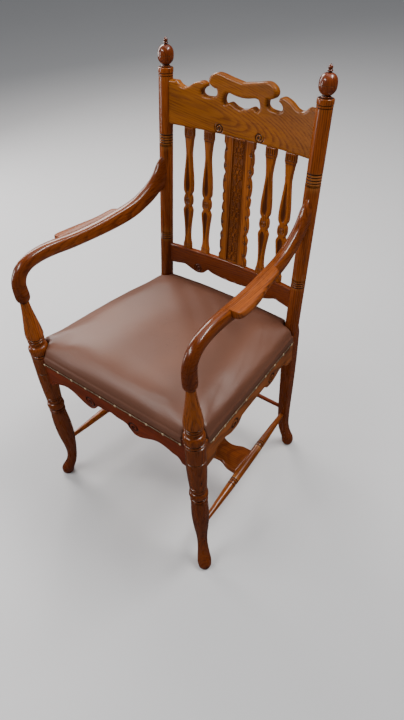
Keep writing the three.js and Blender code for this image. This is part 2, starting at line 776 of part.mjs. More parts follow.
function sideTenon(side, end, grow = 0) {
  const depth = end === "front" ? tenonLength : backLegTenonLength;
  const length = tenonRoot + depth;
  const fromLeg = half(length) - depth;
  const place = end === "front" ? frontLegRadius + fromLeg : sideRun - postRadius - fromLeg;
  const tenon = block(length + 2 * grow, tenonThickness + 2 * grow, tenonHeight + 2 * grow);
  return onRailPlane(alongSide(side, tenon.translate(place, 0, tenonMiddle)));
}

function rearTenon(side, grow = 0) {
  const length = tenonRoot + backLegTenonLength;
  const inner = backPostSpread - postRadius - tenonRoot;
  return onRailPlane(
    block(length + 2 * grow, tenonThickness + 2 * grow, rearRailDepth - 2 * tenonDrop + 2 * grow)
      .translate(side * (inner + half(length)), rearRailMiddle, -half(rearRailDepth)),
  );
}

// Right half of the lower edges: [share of the half length, share of the lobe's depth below the flats]
const frontApronShares = [
  [[0, -0.2], [0.03, -0.12], [0.07, 0]],
  [[0.07, 0], [0.16, 0.02], [0.2, 0.14], [0.235, 0.62], [0.285, 1], [0.35, 1], [0.42, 0.72], [0.5, 0.3],
    [0.57, 0.03], [0.64, 0], [0.7, 0.15], [0.76, 0.36], [0.81, 0.44], [0.84, 0.7], [0.86, 1.1]],
  [[0.86, 1.1], [0.96, 1.2]],
];
const sideApronShares = [
  [[0, -0.23], [0.2, -0.2], [0.26, 0], [0.31, 0.8], [0.38, 1], [0.46, 0.95], [0.54, 0.5], [0.6, 0.05],
    [0.66, 0], [0.71, 0], [0.75, 0.3], [0.79, 1.5], [0.84, 1.85]],
  [[0.84, 1.85], [0.955, 1.9]],
];

function apron(shares, reach, lobeDepth) {
  const drop = railDepth / lobeDepth;
  const lower = shares.map((run) => run.map(([x, y]) => [x, -y - drop]));
  const corner = lower.at(-1).at(-1);
  const closed = [...lower, [corner, [corner[0], 0]], [[corner[0], 0], [0, 0]]];
  return board(outline(mirrored(closed), reach, lobeDepth), railThickness);
}

function frontRail() {
  const blank = apron(frontApronShares, frontLegSpread, frontLobeDepth).translate(0, railMiddle, 0);
  const coped = cut(onRailPlane(blank), frontLegSkin(-1, fit), frontLegSkin(1, fit));
  return cut(fuse(coped, frontTenon(-1), frontTenon(1)), ...screwBores("front", "rail"));
}

function sideRail(side) {
  const reach = half(sideRun);
  const blank = apron(sideApronShares, reach, sideLobeDepth).translate(reach, 0, 0);
  const placed = onRailPlane(alongSide(side, blank));
  const coped = cut(placed, frontLegSkin(side, fit), backLegSkin(side, fit));
  const whole = fuse(coped, sideTenon(side, "front"), sideTenon(side, "back"));
  return cut(whole, ...screwBores(side, "side"));
}

const rearRailMiddle = legDepth + rearRailFace - half(railThickness);

function rearSeatRail() {
  const blank = block(2 * backPostSpread - postRadius, railThickness, rearRailDepth)
    .translate(0, rearRailMiddle, -half(rearRailDepth));
  const coped = cut(onRailPlane(blank), backLegSkin(-1, fit), backLegSkin(1, fit));
  return cut(fuse(coped, rearTenon(-1), rearTenon(1)), ...screwBores("back", "rail"));
}

// Corner blocks and screws

const blockMiddle = -blockDrop - half(blockHeight);

// Inner corner of the seat frame at one end, and the way from it towards the middle of the seat
function frameCorner(end) {
  return end === "front"
    ? { y: railThickness - frontRailFace + fit, way: 1 }
    : { y: legDepth + rearRailFace - railThickness - fit, way: -1 };
}

const innerSide = (y) => sideFace(y) - railAcross - fit;

function cornerBlock(side, end) {
  const { y, way } = frameCorner(end);
  const shape = new THREE.Shape([
    new THREE.Vector2(side * innerSide(y), y),
    new THREE.Vector2(side * (innerSide(y) - blockLeg), y),
    new THREE.Vector2(side * innerSide(y + way * blockLeg), y + way * blockLeg),
  ]);
  const plate = new THREE.ExtrudeGeometry(shape, { depth: blockHeight, bevelEnabled: false });
  const leg = end === "front" ? frontLegSkin(side, fit) : backLegSkin(side, fit);
  const placed = onRailPlane(plate.translate(0, 0, blockMiddle - half(blockHeight)));
  return cut(placed, leg, ...["rail", "side"].map((into) => screwBore(...blockScrewEnds(side, end, into))));
}

// Tip and head seat of a block's screw that runs into the front or rear rail, or into the side rail
function blockScrewEnds(side, end, into) {
  const { y, way } = frameCorner(end);
  const along = blockLeg * blockScrewPlaceShare;
  const seat = blockLeg - along - blockScrewSink;
  const tip = seat - blockScrewLength;
  const points =
    into === "rail"
      ? [tip, seat].map((depth) => V(side * (innerSide(y) - along), y + way * depth, 0))
      : [tip, seat].map((depth) => V(side * (innerSide(y + way * along) - depth), y + way * along, 0));
  const height = railPlane(points[1].y) + blockMiddle;
  return points.map((point) => point.setZ(height));
}

function screwBore(tip, seat, headRadius = screwHeadRadius) {
  const length = tip.distanceTo(seat);
  const shank = rod(screwRadius + fit, -fit, length + overrun, screwSides);
  return lay(fuse(shank, rod(headRadius + fit, length - fit, length + overrun, screwSides)), tip, seat);
}

const screwBores = (which, into) =>
  into === "rail"
    ? [-1, 1].map((side) => screwBore(...blockScrewEnds(side, which, "rail")))
    : ["front", "back"].map((end) => screwBore(...blockScrewEnds(which, end, "side")));

function screw(tip, seat) {
  const length = tip.distanceTo(seat);
  const profile = [
    [0, half(half(screwRadius))],
    [2 * screwRadius, screwRadius],
    [length, screwRadius],
    [length, screwHeadRadius],
    [length + screwHeadHeight, half(screwHeadRadius)],
  ];
  return lay(turned(profile, screwSides), tip, seat);
}

// Tip and head seat of the screw through a post into the arm, in the frame of the back
function armScrewEnds(side) {
  const place = (armTailHeight - seatLine) / Math.cos(rake);
  const seat = postRadius - armScrewSink;
  return [V(side * backPostSpread, seat - armScrewLength, place), V(side * backPostSpread, seat, place)];
}

const armScrewBore = (side) => screwBore(...armScrewEnds(side), plugRadius);
const armScrew = (side) => screw(...armScrewEnds(side));

function armPlug(side) {
  const [, seat] = armScrewEnds(side);
  const face = seat.clone().setY(postRadius);
  const inner = seat.clone().setY(seat.y + screwHeadHeight + fit);
  return lay(rod(plugRadius, 0, inner.distanceTo(face), screwSides), inner, face);
}

// Seat layers. Heights count from the plane of the rail tops.

const seatFront = -frontRailFace;
const seatBack = legDepth + rearRailFace;
const stack = webbingThickness + hessianThickness + 3 * fit;

// A flat layer of the seat's outline, grown outwards, between two heights
function seatSheet(grow, low, high) {
  const sheet = block(1, 1, 1);
  const points = sheet.attributes.position;
  for (let i = 0; i < points.count; i++) {
    const y = mix(seatFront - grow, seatBack + grow, points.getY(i) + half(1));
    const x = (points.getX(i) / half(1)) * (sideFace(y) + grow);
    points.setXYZ(i, x, y, mix(low, high, points.getZ(i) + half(1)));
  }
  return onRailPlane(sheet);
}

// The crown is soft along the front edge, full at the sides and almost square along the back.
const crownPower = 2.4;
const frontFullness = 2.9;
const sideFullness = 2;
const backFullness = 12;
const fall = (share, fullness) => Math.max(0, 1 - Math.abs(share) ** crownPower) ** (1 / fullness);

// The domed seat: its outline grown outwards, its foot, and how far its top lies under the leather's face
function seatDome(grow, low, under) {
  const dome = new THREE.BoxGeometry(1, 1, 1, seatStepsAcross, seatStepsDeep, seatStepsUp);
  const points = dome.attributes.position;
  const spread = (place) => Math.sin(Math.PI * place);
  const edge = edgeRise - under;
  const foot = Math.max(low, 0);
  const levels = [low, mix(foot, edge, low < 0 ? 0 : 1 / seatStepsUp), mix(foot, edge, half(1)), edge];
  for (let i = 0; i < points.count; i++) {
    const across = spread(points.getX(i));
    const deep = spread(points.getY(i));
    const up = points.getZ(i) + half(1);
    const level = levels[Math.round(up * seatStepsUp)];
    const lean = wallLean * (Math.max(level, 0) / edgeRise) ** 2;
    const y = mix(seatFront - grow + lean, seatBack + grow - lean, half(deep + 1));
    const x = across * (sideFace(y) + grow - lean);
    const rise = crown * fall(across, sideFullness) * fall(deep, deep < 0 ? frontFullness : backFullness);
    points.setXYZ(i, x, y, up === 1 ? level + rise : level);
  }
  return onRailPlane(dome);
}

// What the legs and posts take out of the seat's corners
const flatShare = Math.cos(Math.PI / turnedSides);

function seatNotches(grow) {
  const high = legTorusHeight + crown;
  const tall = 2 * high;
  const corner = sideRailFaceFront + overrun;
  return [-1, 1].flatMap((side) => [
    rod((legTorusRadius + grow) / flatShare, 0, tall, turnedSides).translate(side * frontLegSpread, 0, 0),
    block(corner, corner, tall).translate(side * (frontLegSpread + half(corner)), -half(corner), half(tall)),
    block(corner, corner, tall).translate(
      side * (backPostSpread - postRadius - grow + half(corner)),
      legDepth - postRadius - grow + half(corner),
      half(tall),
    ),
  ]);
}

function webbing() {
  const places = (reach) => {
    const count = Math.floor((reach - half(webbingWidth)) / webbingPitch);
    return Array.from({ length: 2 * count + 1 }, (_, i) => (i - count) * webbingPitch);
  };
  const middle = half(seatFront + seatBack);
  const deep = seatBack - seatFront - 2 * webbingRest + 2 * fit;
  const low = fit + half(webbingThickness);
  const lengthwise = places(backPostSpread - postRadius - webbingPitch / 4).map((x) =>
    block(webbingWidth, deep, webbingThickness).translate(x, middle, low));
  const crosswise = places(half(deep) - webbingPitch / 4).map((offset) => {
    const y = middle + offset;
    return block(2 * (sideFace(y) - webbingRest), webbingWidth, webbingThickness).translate(0, y, low);
  });
  return onRailPlane(fuse(...lengthwise, ...crosswise));
}

const notchGap = 2 * fit + leather;

const hessian = () =>
  cut(seatSheet(-webbingRest, webbingThickness + 2 * fit, stack - fit), ...seatNotches(notchGap));

const stuffing = () => cut(seatDome(0, stack, leather + fit), ...seatNotches(notchGap));

function seatLeather() {
  const outer = cut(seatDome(fit + leather, -hem, 0), ...seatNotches(fit));
  const inner = cut(seatDome(fit, -hem - overrun, leather), ...seatNotches(fit + leather));
  return cut(outer, inner, seatSheet(fit, -hem - overrun, fit));
}

// [share of the welt's thickness, share of the nail's radius]
const nailHeadShares = [[0.1, 1], [1.7, 0.6]];

// A welt strip with its domed nails, from one end to the other, round the seat anticlockwise from above
function nailStrip(from, to) {
  const length = from.distanceTo(to);
  const along = to.clone().sub(from).normalize();
  const inward = V(-along.y, along.x, 0).normalize();
  const up = along.clone().cross(inward);
  const nails = Math.floor(length / nailPitch) + 1;
  const head = () =>
    turned(nailHeadShares.map(([z, r]) => [z * weltThickness, r * nailRadius]), nailSides);
  const heads = Array.from({ length: nails }, (_, i) =>
    head().rotateX(half(Math.PI)).translate((i - half(nails - 1)) * nailPitch, 0, 0));
  const strip = block(length, weltThickness, weltHeight).translate(0, -half(weltThickness), 0);
  const middle = from.clone().lerp(to, half(1));
  const matrix = new THREE.Matrix4().makeBasis(along, inward, up).setPosition(middle);
  return fuse(strip, ...heads).applyMatrix4(matrix);
}

function nailLine(place) {
  const out = leather + 2 * fit;
  const at = (x, y) => V(x, y, railPlane(y) - nailDrop);
  const frontEnd = frontLegSpread - legTorusRadius - 2 * fit;
  const sideStart = legTorusRadius + weltHeight;
  const sideEnd = legDepth - postRadius - weltHeight;
  const backEnd = backPostSpread - postRadius - weltHeight;
  const ends = {
    front: [at(-frontEnd, seatFront - out), at(frontEnd, seatFront - out)],
    right: [at(sideFace(sideStart) + out, sideStart), at(sideFace(sideEnd) + out, sideEnd)],
    back: [at(backEnd, seatBack + out), at(-backEnd, seatBack + out)],
    left: [at(-sideFace(sideEnd) - out, sideEnd), at(-sideFace(sideStart) - out, sideStart)],
  };
  return nailStrip(...ends[place]);
}

// The chair

const chair = new THREE.Group();
const back = new THREE.Group();
back.applyMatrix4(backMatrix);
chair.add(back);

function add(name, geometry, material, group = chair) {
  const mesh = new THREE.Mesh(geometry, material);
  mesh.name = name;
  group.add(mesh);
}

add("crest_rail", crestRail(), crestOak(), back);
add("lower_back_rail", lowerBackRail(), oak(), back);
add("splat", upright(splatShares, 0, splatWidth, splatThickness), oak(), back);
spindlePlaces.forEach((place, i) =>
  add(`spindle_${i + 1}`, upright(spindleShares, place, spindleWidth, spindleThickness), oak(), back));
add("front_rail", frontRail(), darkOak());
add("rear_seat_rail", rearSeatRail(), darkOak());
add("cross_stretcher", crossStretcher(), oak());
add("back_stretcher", backStretcher(), darkOak());
add("seat_webbing", webbing(), jute());
add("seat_hessian", hessian(), jute());
add("seat_stuffing", stuffing(), hair());
add("seat_leather", seatLeather(), hide());
for (const place of ["front", "right", "back", "left"])
  add(`nail_strip_${place}`, nailLine(place), brass());

for (const [hand, side] of [["left", -1], ["right", 1]]) {
  add(`front_leg_${hand}`, frontLeg(side), darkOak());
  add(`back_leg_${hand}`, backLeg(side), darkOak());
  add(`arm_${hand}`, arm(side), oak());
  add(`arm_pad_${hand}`, armPad(side), oak());
  add(`arm_screw_${hand}`, fromBack(armScrew(side)), steel());
  add(`arm_plug_${hand}`, fromBack(armPlug(side)), darkOak());
  add(`side_rail_${hand}`, sideRail(side), darkOak());
  add(`side_stretcher_${hand}`, sideStretcher(side), oak());
  add(`finial_${hand}`, finial().translate(side * backPostSpread, 0, postTop), darkOak(), back);
  for (const end of ["front", "back"]) {
    add(`corner_block_${end}_${hand}`, cornerBlock(side, end), beech());
    for (const into of ["rail", "side"])
      add(`block_screw_${end}_${hand}_${into}`, screw(...blockScrewEnds(side, end, into)), steel());
  }
}

// The origin is under the middle of the chair, on the floor.
const bounds = new THREE.Box3().setFromObject(chair, true);
const middle = bounds.getCenter(V(0, 0, 0));
chair.position.set(-middle.x, -middle.y, -bounds.min.z);

const root = new THREE.Group();
root.add(chair);
export default root;
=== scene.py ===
"""Captains chair in oak with a domed leather seat: the pieces as they look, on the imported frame."""
import math

import bpy
import numpy as np
from bpy.props import FloatProperty, FloatVectorProperty, PointerProperty
from mathutils import Matrix, Vector, kdtree


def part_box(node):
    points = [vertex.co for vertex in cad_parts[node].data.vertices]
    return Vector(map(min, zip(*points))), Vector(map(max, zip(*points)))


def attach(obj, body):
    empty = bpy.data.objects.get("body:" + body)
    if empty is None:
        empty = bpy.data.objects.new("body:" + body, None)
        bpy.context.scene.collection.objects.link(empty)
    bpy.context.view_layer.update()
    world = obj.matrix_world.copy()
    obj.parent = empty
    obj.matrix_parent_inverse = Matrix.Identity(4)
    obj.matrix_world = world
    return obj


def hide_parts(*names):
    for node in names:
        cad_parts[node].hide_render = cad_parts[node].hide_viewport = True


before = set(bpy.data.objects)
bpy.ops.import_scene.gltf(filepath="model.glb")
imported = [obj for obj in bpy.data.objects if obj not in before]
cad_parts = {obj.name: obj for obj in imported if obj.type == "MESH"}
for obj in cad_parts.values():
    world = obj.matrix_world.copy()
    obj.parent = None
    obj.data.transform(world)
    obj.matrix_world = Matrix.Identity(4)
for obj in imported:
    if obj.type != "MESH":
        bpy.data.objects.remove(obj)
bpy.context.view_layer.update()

bl_info = {
    "name": "Captains chair",
    "version": (1, 0, 0),
    "blender": (4, 5, 0),
    "location": "3D View > Sidebar > Chair",
    "description": "Builds an oak captains chair with turned legs, open arms and a leather seat",
    "category": "Object",
}

MM = 0.001

# Places of the CAD model, in metres. Depths are counted from the front leg axes.
RAIL_FACE = 11.5 * MM  # the front rail's face, before the leg axes
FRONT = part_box("front_rail")[0].y + RAIL_FACE  # y of the front leg axes in the frame
LEG_SPREAD = 253 * MM  # half the distance between the front leg axes
POST_SPREAD = 217 * MM  # half the distance between the post axes
LEG_DEPTH = 467 * MM  # depth of the post axes at the seat line
REAR_FACE = LEG_DEPTH + 11 * MM  # the rear rail's face
SEAT_LINE = 481 * MM  # where the posts leave the seat and lean back
SIDE_FACES = (20.5, 15.5)  # mm from the line of the leg axes to the side rails' faces, front and back
RAKE = math.radians(6.75)
RAIL_TOP = 493 * MM  # the front rail's top at its face
SEAT_FALL = 0.055  # drop of the rail tops for each unit of depth
ARM_FOOT = 657.6 * MM  # the front legs' tops, which carry the arms
FRONT_KICK = 24 * MM  # how far the front feet turn out
BACK_KICK = 17 * MM  # how far the back feet turn out
LOW_RING = 306 * MM  # height of the front legs' low ring, above which they stand upright
STRETCHER_HEIGHT = 147 * MM
BACK_STRETCHER_HEIGHT = 162 * MM
STRAP_PITCH = 95 * MM  # between the webbing straps
STRAP_WIDTH = 50 * MM
STRAP_THICKNESS = 0.75 * MM
HESSIAN_INSET = 42 * MM  # from the rails' faces to the hessian's edge
HEM_DROP = 22 * MM  # leather hanging below the rails' tops
NAIL_DROP = 15 * MM  # nail line below the rails' tops
# Places along the back, from the seat line
POST_TOP = 572 * MM
CREST_FOOT = 443 * MM
LOWER_RAIL_TOP = 110 * MM
LOWER_RAIL_THICKNESS = 15 * MM
SPINDLE_PLACES = (-148 * MM, -91 * MM, 91 * MM, 148 * MM)
FIT = 0.3 * MM  # play at the ends of the splat and the spindles
BACK = Matrix.Translation((0, FRONT + LEG_DEPTH, SEAT_LINE)) @ Matrix.Rotation(-RAKE, 4, "X")
HANDS = (("left", -1), ("right", 1))


def length(name, mm, about):
    """A size given in mm, kept in metres."""
    return FloatProperty(name=name, description=about, default=mm * MM, min=0, unit="LENGTH")


def colour(name, rgb, about):
    """A colour given as 0 to 255 for each channel, kept in linear light."""
    linear = [((c / 255 + 0.055) / 1.055) ** 2.4 if c > 10 else c / 255 / 12.92 for c in rgb]
    return FloatVectorProperty(name=name, description=about, default=linear, subtype="COLOR", min=0, max=1)


class ChairSizes(bpy.types.PropertyGroup):
    front_leg_radius: length("Front leg radius", 24.5, "Radius of the front legs' cylinder")
    post_radius: length("Post radius", 18, "Radius of the back posts")
    arm_width: length("Arm width", 29, "Width of the arms on their level stretch")
    arm_depth: length("Arm depth", 35, "Depth of the arms on their level stretch")
    arm_rise: length("Arm rise", 84, "Rise from the front legs' tops to the level stretch")
    pad_reach: length("Pad reach", 19, "How far the arm pads stand out")
    bow_sag: length("Bow of the back", 22, "How far the back bows behind the posts")
    crest_height: length("Crest height", 135, "Height of the crest rail")
    crest_thickness: length("Crest thickness", 22, "Thickness of the crest rail")
    lower_rail_depth: length("Lower rail depth", 66, "Depth of the lower back rail")
    spindle_width: length("Spindle width", 28, "Width of the flat spindles")
    spindle_thickness: length("Spindle thickness", 14, "Thickness of the flat spindles")
    splat_width: length("Splat width", 88, "Width of the carved splat")
    splat_thickness: length("Splat thickness", 12, "Thickness of the carved splat")
    rail_thickness: length("Seat rail thickness", 22, "Thickness of the seat rails")
    rail_depth: length("Seat rail depth", 65, "Depth of the seat rails at the flats of their edge")
    stretcher_radius: length("Stretcher radius", 12, "Radius of the side stretchers")
    board_width: length("Cross stretcher width", 88, "Width of the flat cross stretcher")
    board_thickness: length("Cross stretcher thickness", 18, "Thickness of the flat cross stretcher")
    crown: length("Seat crown", 46, "Rise of the leather above its edge")
    nail_radius: length("Nail radius", 3.4, "Radius of the domed nails")
    nail_pitch: length("Nail pitch", 49.5, "Distance between the domed nails")


class ChairColours(bpy.types.PropertyGroup):
    oak: colour("Oak", (162, 87, 22), "Light wood of the spindles, arms and splat")
    oak_vein: colour("Oak vein", (84, 34, 6), "Darker veins of the light wood")
    crest: colour("Crest", (150, 86, 20), "Light wood of the crest rail")
    crest_vein: colour("Crest vein", (104, 48, 10), "Darker veins of the crest rail")
    red_oak: colour("Red oak", (122, 46, 14), "Wood of the legs, posts and seat rails")
    red_vein: colour("Red vein", (50, 14, 4), "Darker veins of the legs, posts and seat rails")
    # This dark colour is old polish and also painted shade: it darkens hollows, grooves, cuts and the gaps
    # between jute threads.
    polish_and_shade: colour("Old polish and painted shade", (30, 9, 3), "Dark polish left in hollows and grooves")
    # The stain also paints shade: in the spindles' gouges, and on the cross stretcher, which lies in the
    # seat's shadow.
    stain_and_shade: colour("Stain and shade", (74, 22, 8), "Red-brown stain of the darker parts")
    # This pale colour is rubbed wood and also painted highlight, on convex edges, beads and the posts'
    # ridges.
    bare: colour("Worn edge and highlight", (200, 138, 70), "Wood rubbed pale along its edges")
    leather: colour("Leather", (113, 69, 48), "Leather of the seat")
    leather_shade: colour("Leather shade", (94, 55, 38), "Darker patches of the leather")
    brass: colour("Brass", (236, 214, 172), "Welt strip and domed nails")
    jute: colour("Jute", (169, 141, 95), "Webbing and hessian under the seat")
    beech: colour("Beech", (183, 141, 92), "Corner blocks")
    steel: colour("Steel", (138, 138, 136), "Screws")
    floor: colour("Floor", (220, 220, 222), "Studio floor")


def sizes():
    """The chair's sizes, which the panel shows."""
    return bpy.context.scene.chair_sizes


def colours():
    """The chair's colours in linear light, which the panel shows."""
    return bpy.context.scene.chair_colours


def paint(name):
    """One of the chair's colours as a shader's socket takes it."""
    return (*getattr(colours(), name), 1)


# Lines and tables


def smooth(points, steps=8):
    """A smooth run through points. A point given twice stays a corner."""
    points = np.asarray(points, float)
    last = len(points) - 1
    share = np.linspace(0, 1, steps, endpoint=False)[:, None]
    run = []
    for i in range(last):
        p0, p1, p2, p3 = (points[min(max(k, 0), last)] for k in (i - 1, i, i + 1, i + 2))
        if np.allclose(p1, p2):
            continue
        run.append(0.5 * (2 * p1 + (p2 - p0) * share + (2 * p0 - 5 * p1 + 4 * p2 - p3) * share**2
                          + (3 * p1 - p0 - 3 * p2 + p3) * share**3))
    return np.vstack([*run, points[-1:]])


def table(pairs, places):
    """Values of a table of (place, value) pairs at other places."""
    pairs = np.asarray(pairs, float)
    return np.interp(places, pairs[:, 0], pairs[:, 1])


def outline(runs, wide, high):
    """A closed outline of smooth runs of shares, the right half mirrored to the left."""
    line = np.vstack([smooth(run)[:-1] if len(run) > 2 else np.asarray(run[:1], float) for run in runs])
    line = np.vstack([line, [runs[-1][-1]]])
    other = line[::-1] * (-1, 1)
    return np.vstack([line, other[1:-1]]) * (wide, high)


def bow(across):
    """How far the back bows behind the posts, at a place across it."""
    return sizes().bow_sag * (1 - (across / POST_SPREAD) ** 2)


def rail_plane(y):
    """Height of the seat rails' tops at a depth behind the front leg axes."""
    return RAIL_TOP - SEAT_FALL * (y + RAIL_FACE)


def side_face(y):
    """Half width of the seat frame at a depth behind the front leg axes."""
    share = y / LEG_DEPTH
    front, back = SIDE_FACES
    return LEG_SPREAD + (POST_SPREAD - LEG_SPREAD) * share + (front + (back - front) * share) * MM


# Meshes


def start():
    """Object mode with nothing selected."""
    if bpy.context.object and bpy.context.object.mode != "OBJECT":
        bpy.ops.object.mode_set(mode="OBJECT")
    bpy.ops.object.select_all(action="DESELECT")


def pick(piece):
    """Makes a piece the one selected and active object."""
    start()
    piece.select_set(True)
    bpy.context.view_layer.objects.active = piece
    return piece


def points_of(piece):
    points = np.empty(len(piece.data.vertices) * 3)
    piece.data.vertices.foreach_get("co", points)
    return points.reshape(-1, 3)


def set_points(piece, points):
    piece.data.vertices.foreach_set("co", np.ascontiguousarray(points, float).ravel())
    piece.data.update()


def move(piece, matrix):
    """Turns and moves a piece, its place kept in its mesh."""
    pick(piece)
    piece.matrix_world = matrix
    bpy.ops.object.transform_apply(location=True, rotation=True, scale=True)
    return piece


def apply(piece, kind, **settings):
    """Adds a modifier to a piece and applies it."""
    pick(piece)
    modifier = piece.modifiers.new(kind.title(), kind)
    for name, value in settings.items():
        setattr(modifier, name, value)
    bpy.ops.object.modifier_apply(modifier=modifier.name)
    return piece


def closed(piece, near=0.02 * MM):
    """Merges what coincides and points the faces outwards."""
    pick(piece)
    bpy.ops.object.mode_set(mode="EDIT")
    bpy.ops.mesh.select_all(action="SELECT")
    bpy.ops.mesh.remove_doubles(threshold=near)
    bpy.ops.mesh.normals_make_consistent(inside=False)
    bpy.ops.object.mode_set(mode="OBJECT")
    return piece


def spun(name, profile, steps=40):
    """A turned piece about +Z from (place, radius) points, in metres."""
    start()
    bpy.ops.mesh.primitive_plane_add(size=MM)
    bpy.ops.object.mode_set(mode="EDIT")
    bpy.ops.mesh.select_all(action="SELECT")
    bpy.ops.mesh.merge(type="CENTER")
    bpy.ops.transform.translate(value=(profile[0][1], 0, profile[0][0]))
    for (z0, r0), (z1, r1) in zip(profile, profile[1:]):
        bpy.ops.mesh.extrude_region_move(TRANSFORM_OT_translate={"value": (r1 - r0, 0, z1 - z0)})
    bpy.ops.mesh.select_all(action="SELECT")
    bpy.ops.mesh.spin(steps=steps, angle=math.tau, center=(0, 0, 0), axis=(0, 0, 1))
    bpy.ops.object.mode_set(mode="OBJECT")
    piece = bpy.context.object
    piece.name = name
    closed(piece)
    # Grooves are marked dark: old polish and painted shade.
    place, dark = np.asarray(profile)[:, 0], grooves(profile, 3.2 * MM, 1 * MM)
    order = np.argsort(place, kind="stable")
    mark(piece, "hollow", np.interp(points_of(piece)[:, 2], place[order], dark[order]))
    return piece


def grooves(profile, reach=3.2, deep=1.1):
    """How far each point of a turned profile lies in a groove, from 0 to 1."""
    place, radius = np.asarray(profile, float).T
    near = np.abs(place[:, None] - place[None, :]) < reach
    above = np.where(near & (place[:, None] >= place[None, :]), radius[None, :], 0).max(1)
    below = np.where(near & (place[:, None] <= place[None, :]), radius[None, :], 0).max(1)
    return np.clip((np.minimum(above, below) - radius) / deep, 0, 1)


def lofted(name, rings, dark=None):
    """A closed piece through rings of points, each an array of (side, 3), with the rings' darkness."""
    rings = np.asarray(rings)
    count, sides = rings.shape[:2]
    start()
    bpy.ops.mesh.primitive_circle_add(vertices=sides, radius=1, fill_type="NGON")
    bpy.ops.object.mode_set(mode="EDIT")
    bpy.ops.mesh.select_all(action="SELECT")
    for _ in range(count - 1):
        bpy.ops.mesh.extrude_region_move(TRANSFORM_OT_translate={"value": (0, 0, 1)})
    bpy.ops.object.mode_set(mode="OBJECT")
    piece = bpy.context.object
    piece.name = name
    points = points_of(piece)
    ring = np.clip(np.rint(points[:, 2]).astype(int), 0, count - 1)
    side = np.rint(np.arctan2(points[:, 1], points[:, 0]) / math.tau * sides).astype(int) % sides
    set_points(piece, rings[ring, side])
    if dark is not None:
        mark(piece, "hollow", np.asarray(dark)[ring])
    return closed(piece, near=0.001 * MM)


def section(centre, across, along, half_wide, half_deep, power=2.0, sides=32):
    """A ring of points: a circle at power 2, squarer above it."""
    angle = np.arange(sides) * math.tau / sides
    squared = [np.sign(c) * np.abs(c) ** (2 / power) for c in (np.cos(angle), np.sin(angle))]
    across, along = np.asarray(across, float), np.asarray(along, float)
    return (np.asarray(centre, float) + np.outer(squared[0] * half_wide, across)
            + np.outer(squared[1] * half_deep, along))


def sawn(name, outlines, thickness, round_over, voxel=1.5 * MM):
    """A board sawn to outlines in x and z, its edges rounded, with an even mesh to carve.
    It gets the attribute inset, the distance from the sawn edge."""
    curve = bpy.data.curves.new(name, "CURVE")
    curve.dimensions = "2D"
    curve.fill_mode = "BOTH"
    curve.extrude = thickness / 2
    for line in outlines:
        spline = curve.splines.new("POLY")
        spline.points.add(len(line) - 1)
        spline.points.foreach_set("co",
                                  np.column_stack([line, np.zeros(len(line)), np.ones(len(line))]).ravel())
        spline.use_cyclic_u = True
    piece = bpy.data.objects.new(name, curve)
    bpy.context.scene.collection.objects.link(piece)
    pick(piece)
    bpy.ops.object.convert(target="MESH")
    closed(bpy.context.object)
    move(piece, Matrix.Rotation(math.pi / 2, 4, "X"))
    apply(piece, "REMESH", mode="VOXEL", voxel_size=voxel, adaptivity=0)
    apply(piece, "SMOOTH", factor=0.5, iterations=2)
    points = points_of(piece)
    inset = edge_distance(points[:, [0, 2]], outlines)
    gap = np.clip(round_over - inset, 0, round_over)
    half = thickness / 2 - (round_over - np.sqrt(round_over**2 - gap**2))
    points[:, 1] = np.clip(points[:, 1], -half, half)
    set_points(piece, points)
    mark(piece, "inset", inset)
    return piece


def edge_distance(flat, outlines):
    """Distance of flat points from closed outlines."""
    dense = []
    for line in outlines:
        for a, b in zip(line, np.roll(line, -1, axis=0)):
            count = max(1, int(np.linalg.norm(b - a) / (0.5 * MM)))
            dense.append(a + (b - a) * np.linspace(0, 1, count, endpoint=False)[:, None])
    dense = np.vstack(dense)
    tree = kdtree.KDTree(len(dense))
    for i, (x, y) in enumerate(dense):
        tree.insert((x, y, 0), i)
    tree.balance()
    return np.array([tree.find((x, y, 0))[2] for x, y in flat])


def mark(piece, name, values):
    """Writes a value for each point of a piece, which its material reads."""
    kept = piece.data.attributes.get(name) or piece.data.attributes.new(name, "FLOAT", "POINT")
    kept.data.foreach_set("value", np.ascontiguousarray(values, np.float32))


def marked(piece, name):
    """The values that a piece was marked with, or noughts."""
    values = np.zeros(len(piece.data.vertices), np.float32)
    kept = piece.data.attributes.get(name)
    if kept:
        kept.data.foreach_get("value", values)
    return values.astype(float)


def carve(piece, thickness, depth, stain_and_shade=None):
    """Sinks the front face of a board. depth(x, z, inset) gives the cut lines and the wider hollows; they are
    darkened with old polish and painted shade, darkest in the lines, and the stain function adds stain,
    partly painted shade, where it says so."""
    points = points_of(piece)
    inset = marked(piece, "inset")
    face = np.clip((1.8 * MM - thickness / 2 - points[:, 1]) / (1 * MM), 0, 1)
    face *= np.clip(inset / (1.5 * MM), 0, 1)
    lines, bowls = (cut * face for cut in depth(points[:, 0], points[:, 2], inset))
    points[:, 1] += np.maximum(lines, bowls)
    set_points(piece, points)
    # The cuts are marked dark: old polish and painted shade.
    mark(piece, "hollow",
         np.maximum(np.clip(lines / (1.1 * MM), 0, 1), np.clip(bowls / (3 * MM), 0, 1) * 0.6))
    if stain_and_shade:
        mark(piece, "stain_and_shade", stain_and_shade(points[:, 0], points[:, 2], inset) * face)
    return piece


def neighbours(piece):
    """The two ends of each edge, and how many neighbours each point has."""
    ends = np.empty(len(piece.data.edges) * 2, np.int32)
    piece.data.edges.foreach_get("vertices", ends)
    a, b = ends.reshape(-1, 2).T
    return a, b, np.maximum(np.bincount(ends, minlength=len(piece.data.vertices)), 1)


def evened(piece, values, passes):
    """Columns of values at the points of a mesh, averaged with their neighbours'."""
    a, b, near = neighbours(piece)
    count = len(near)
    for _ in range(passes):
        around = np.column_stack([np.bincount(a, column[b], count) + np.bincount(b, column[a], count)
                                  for column in values.T])
        values = (values + around / near[:, None]) / 2
    return values


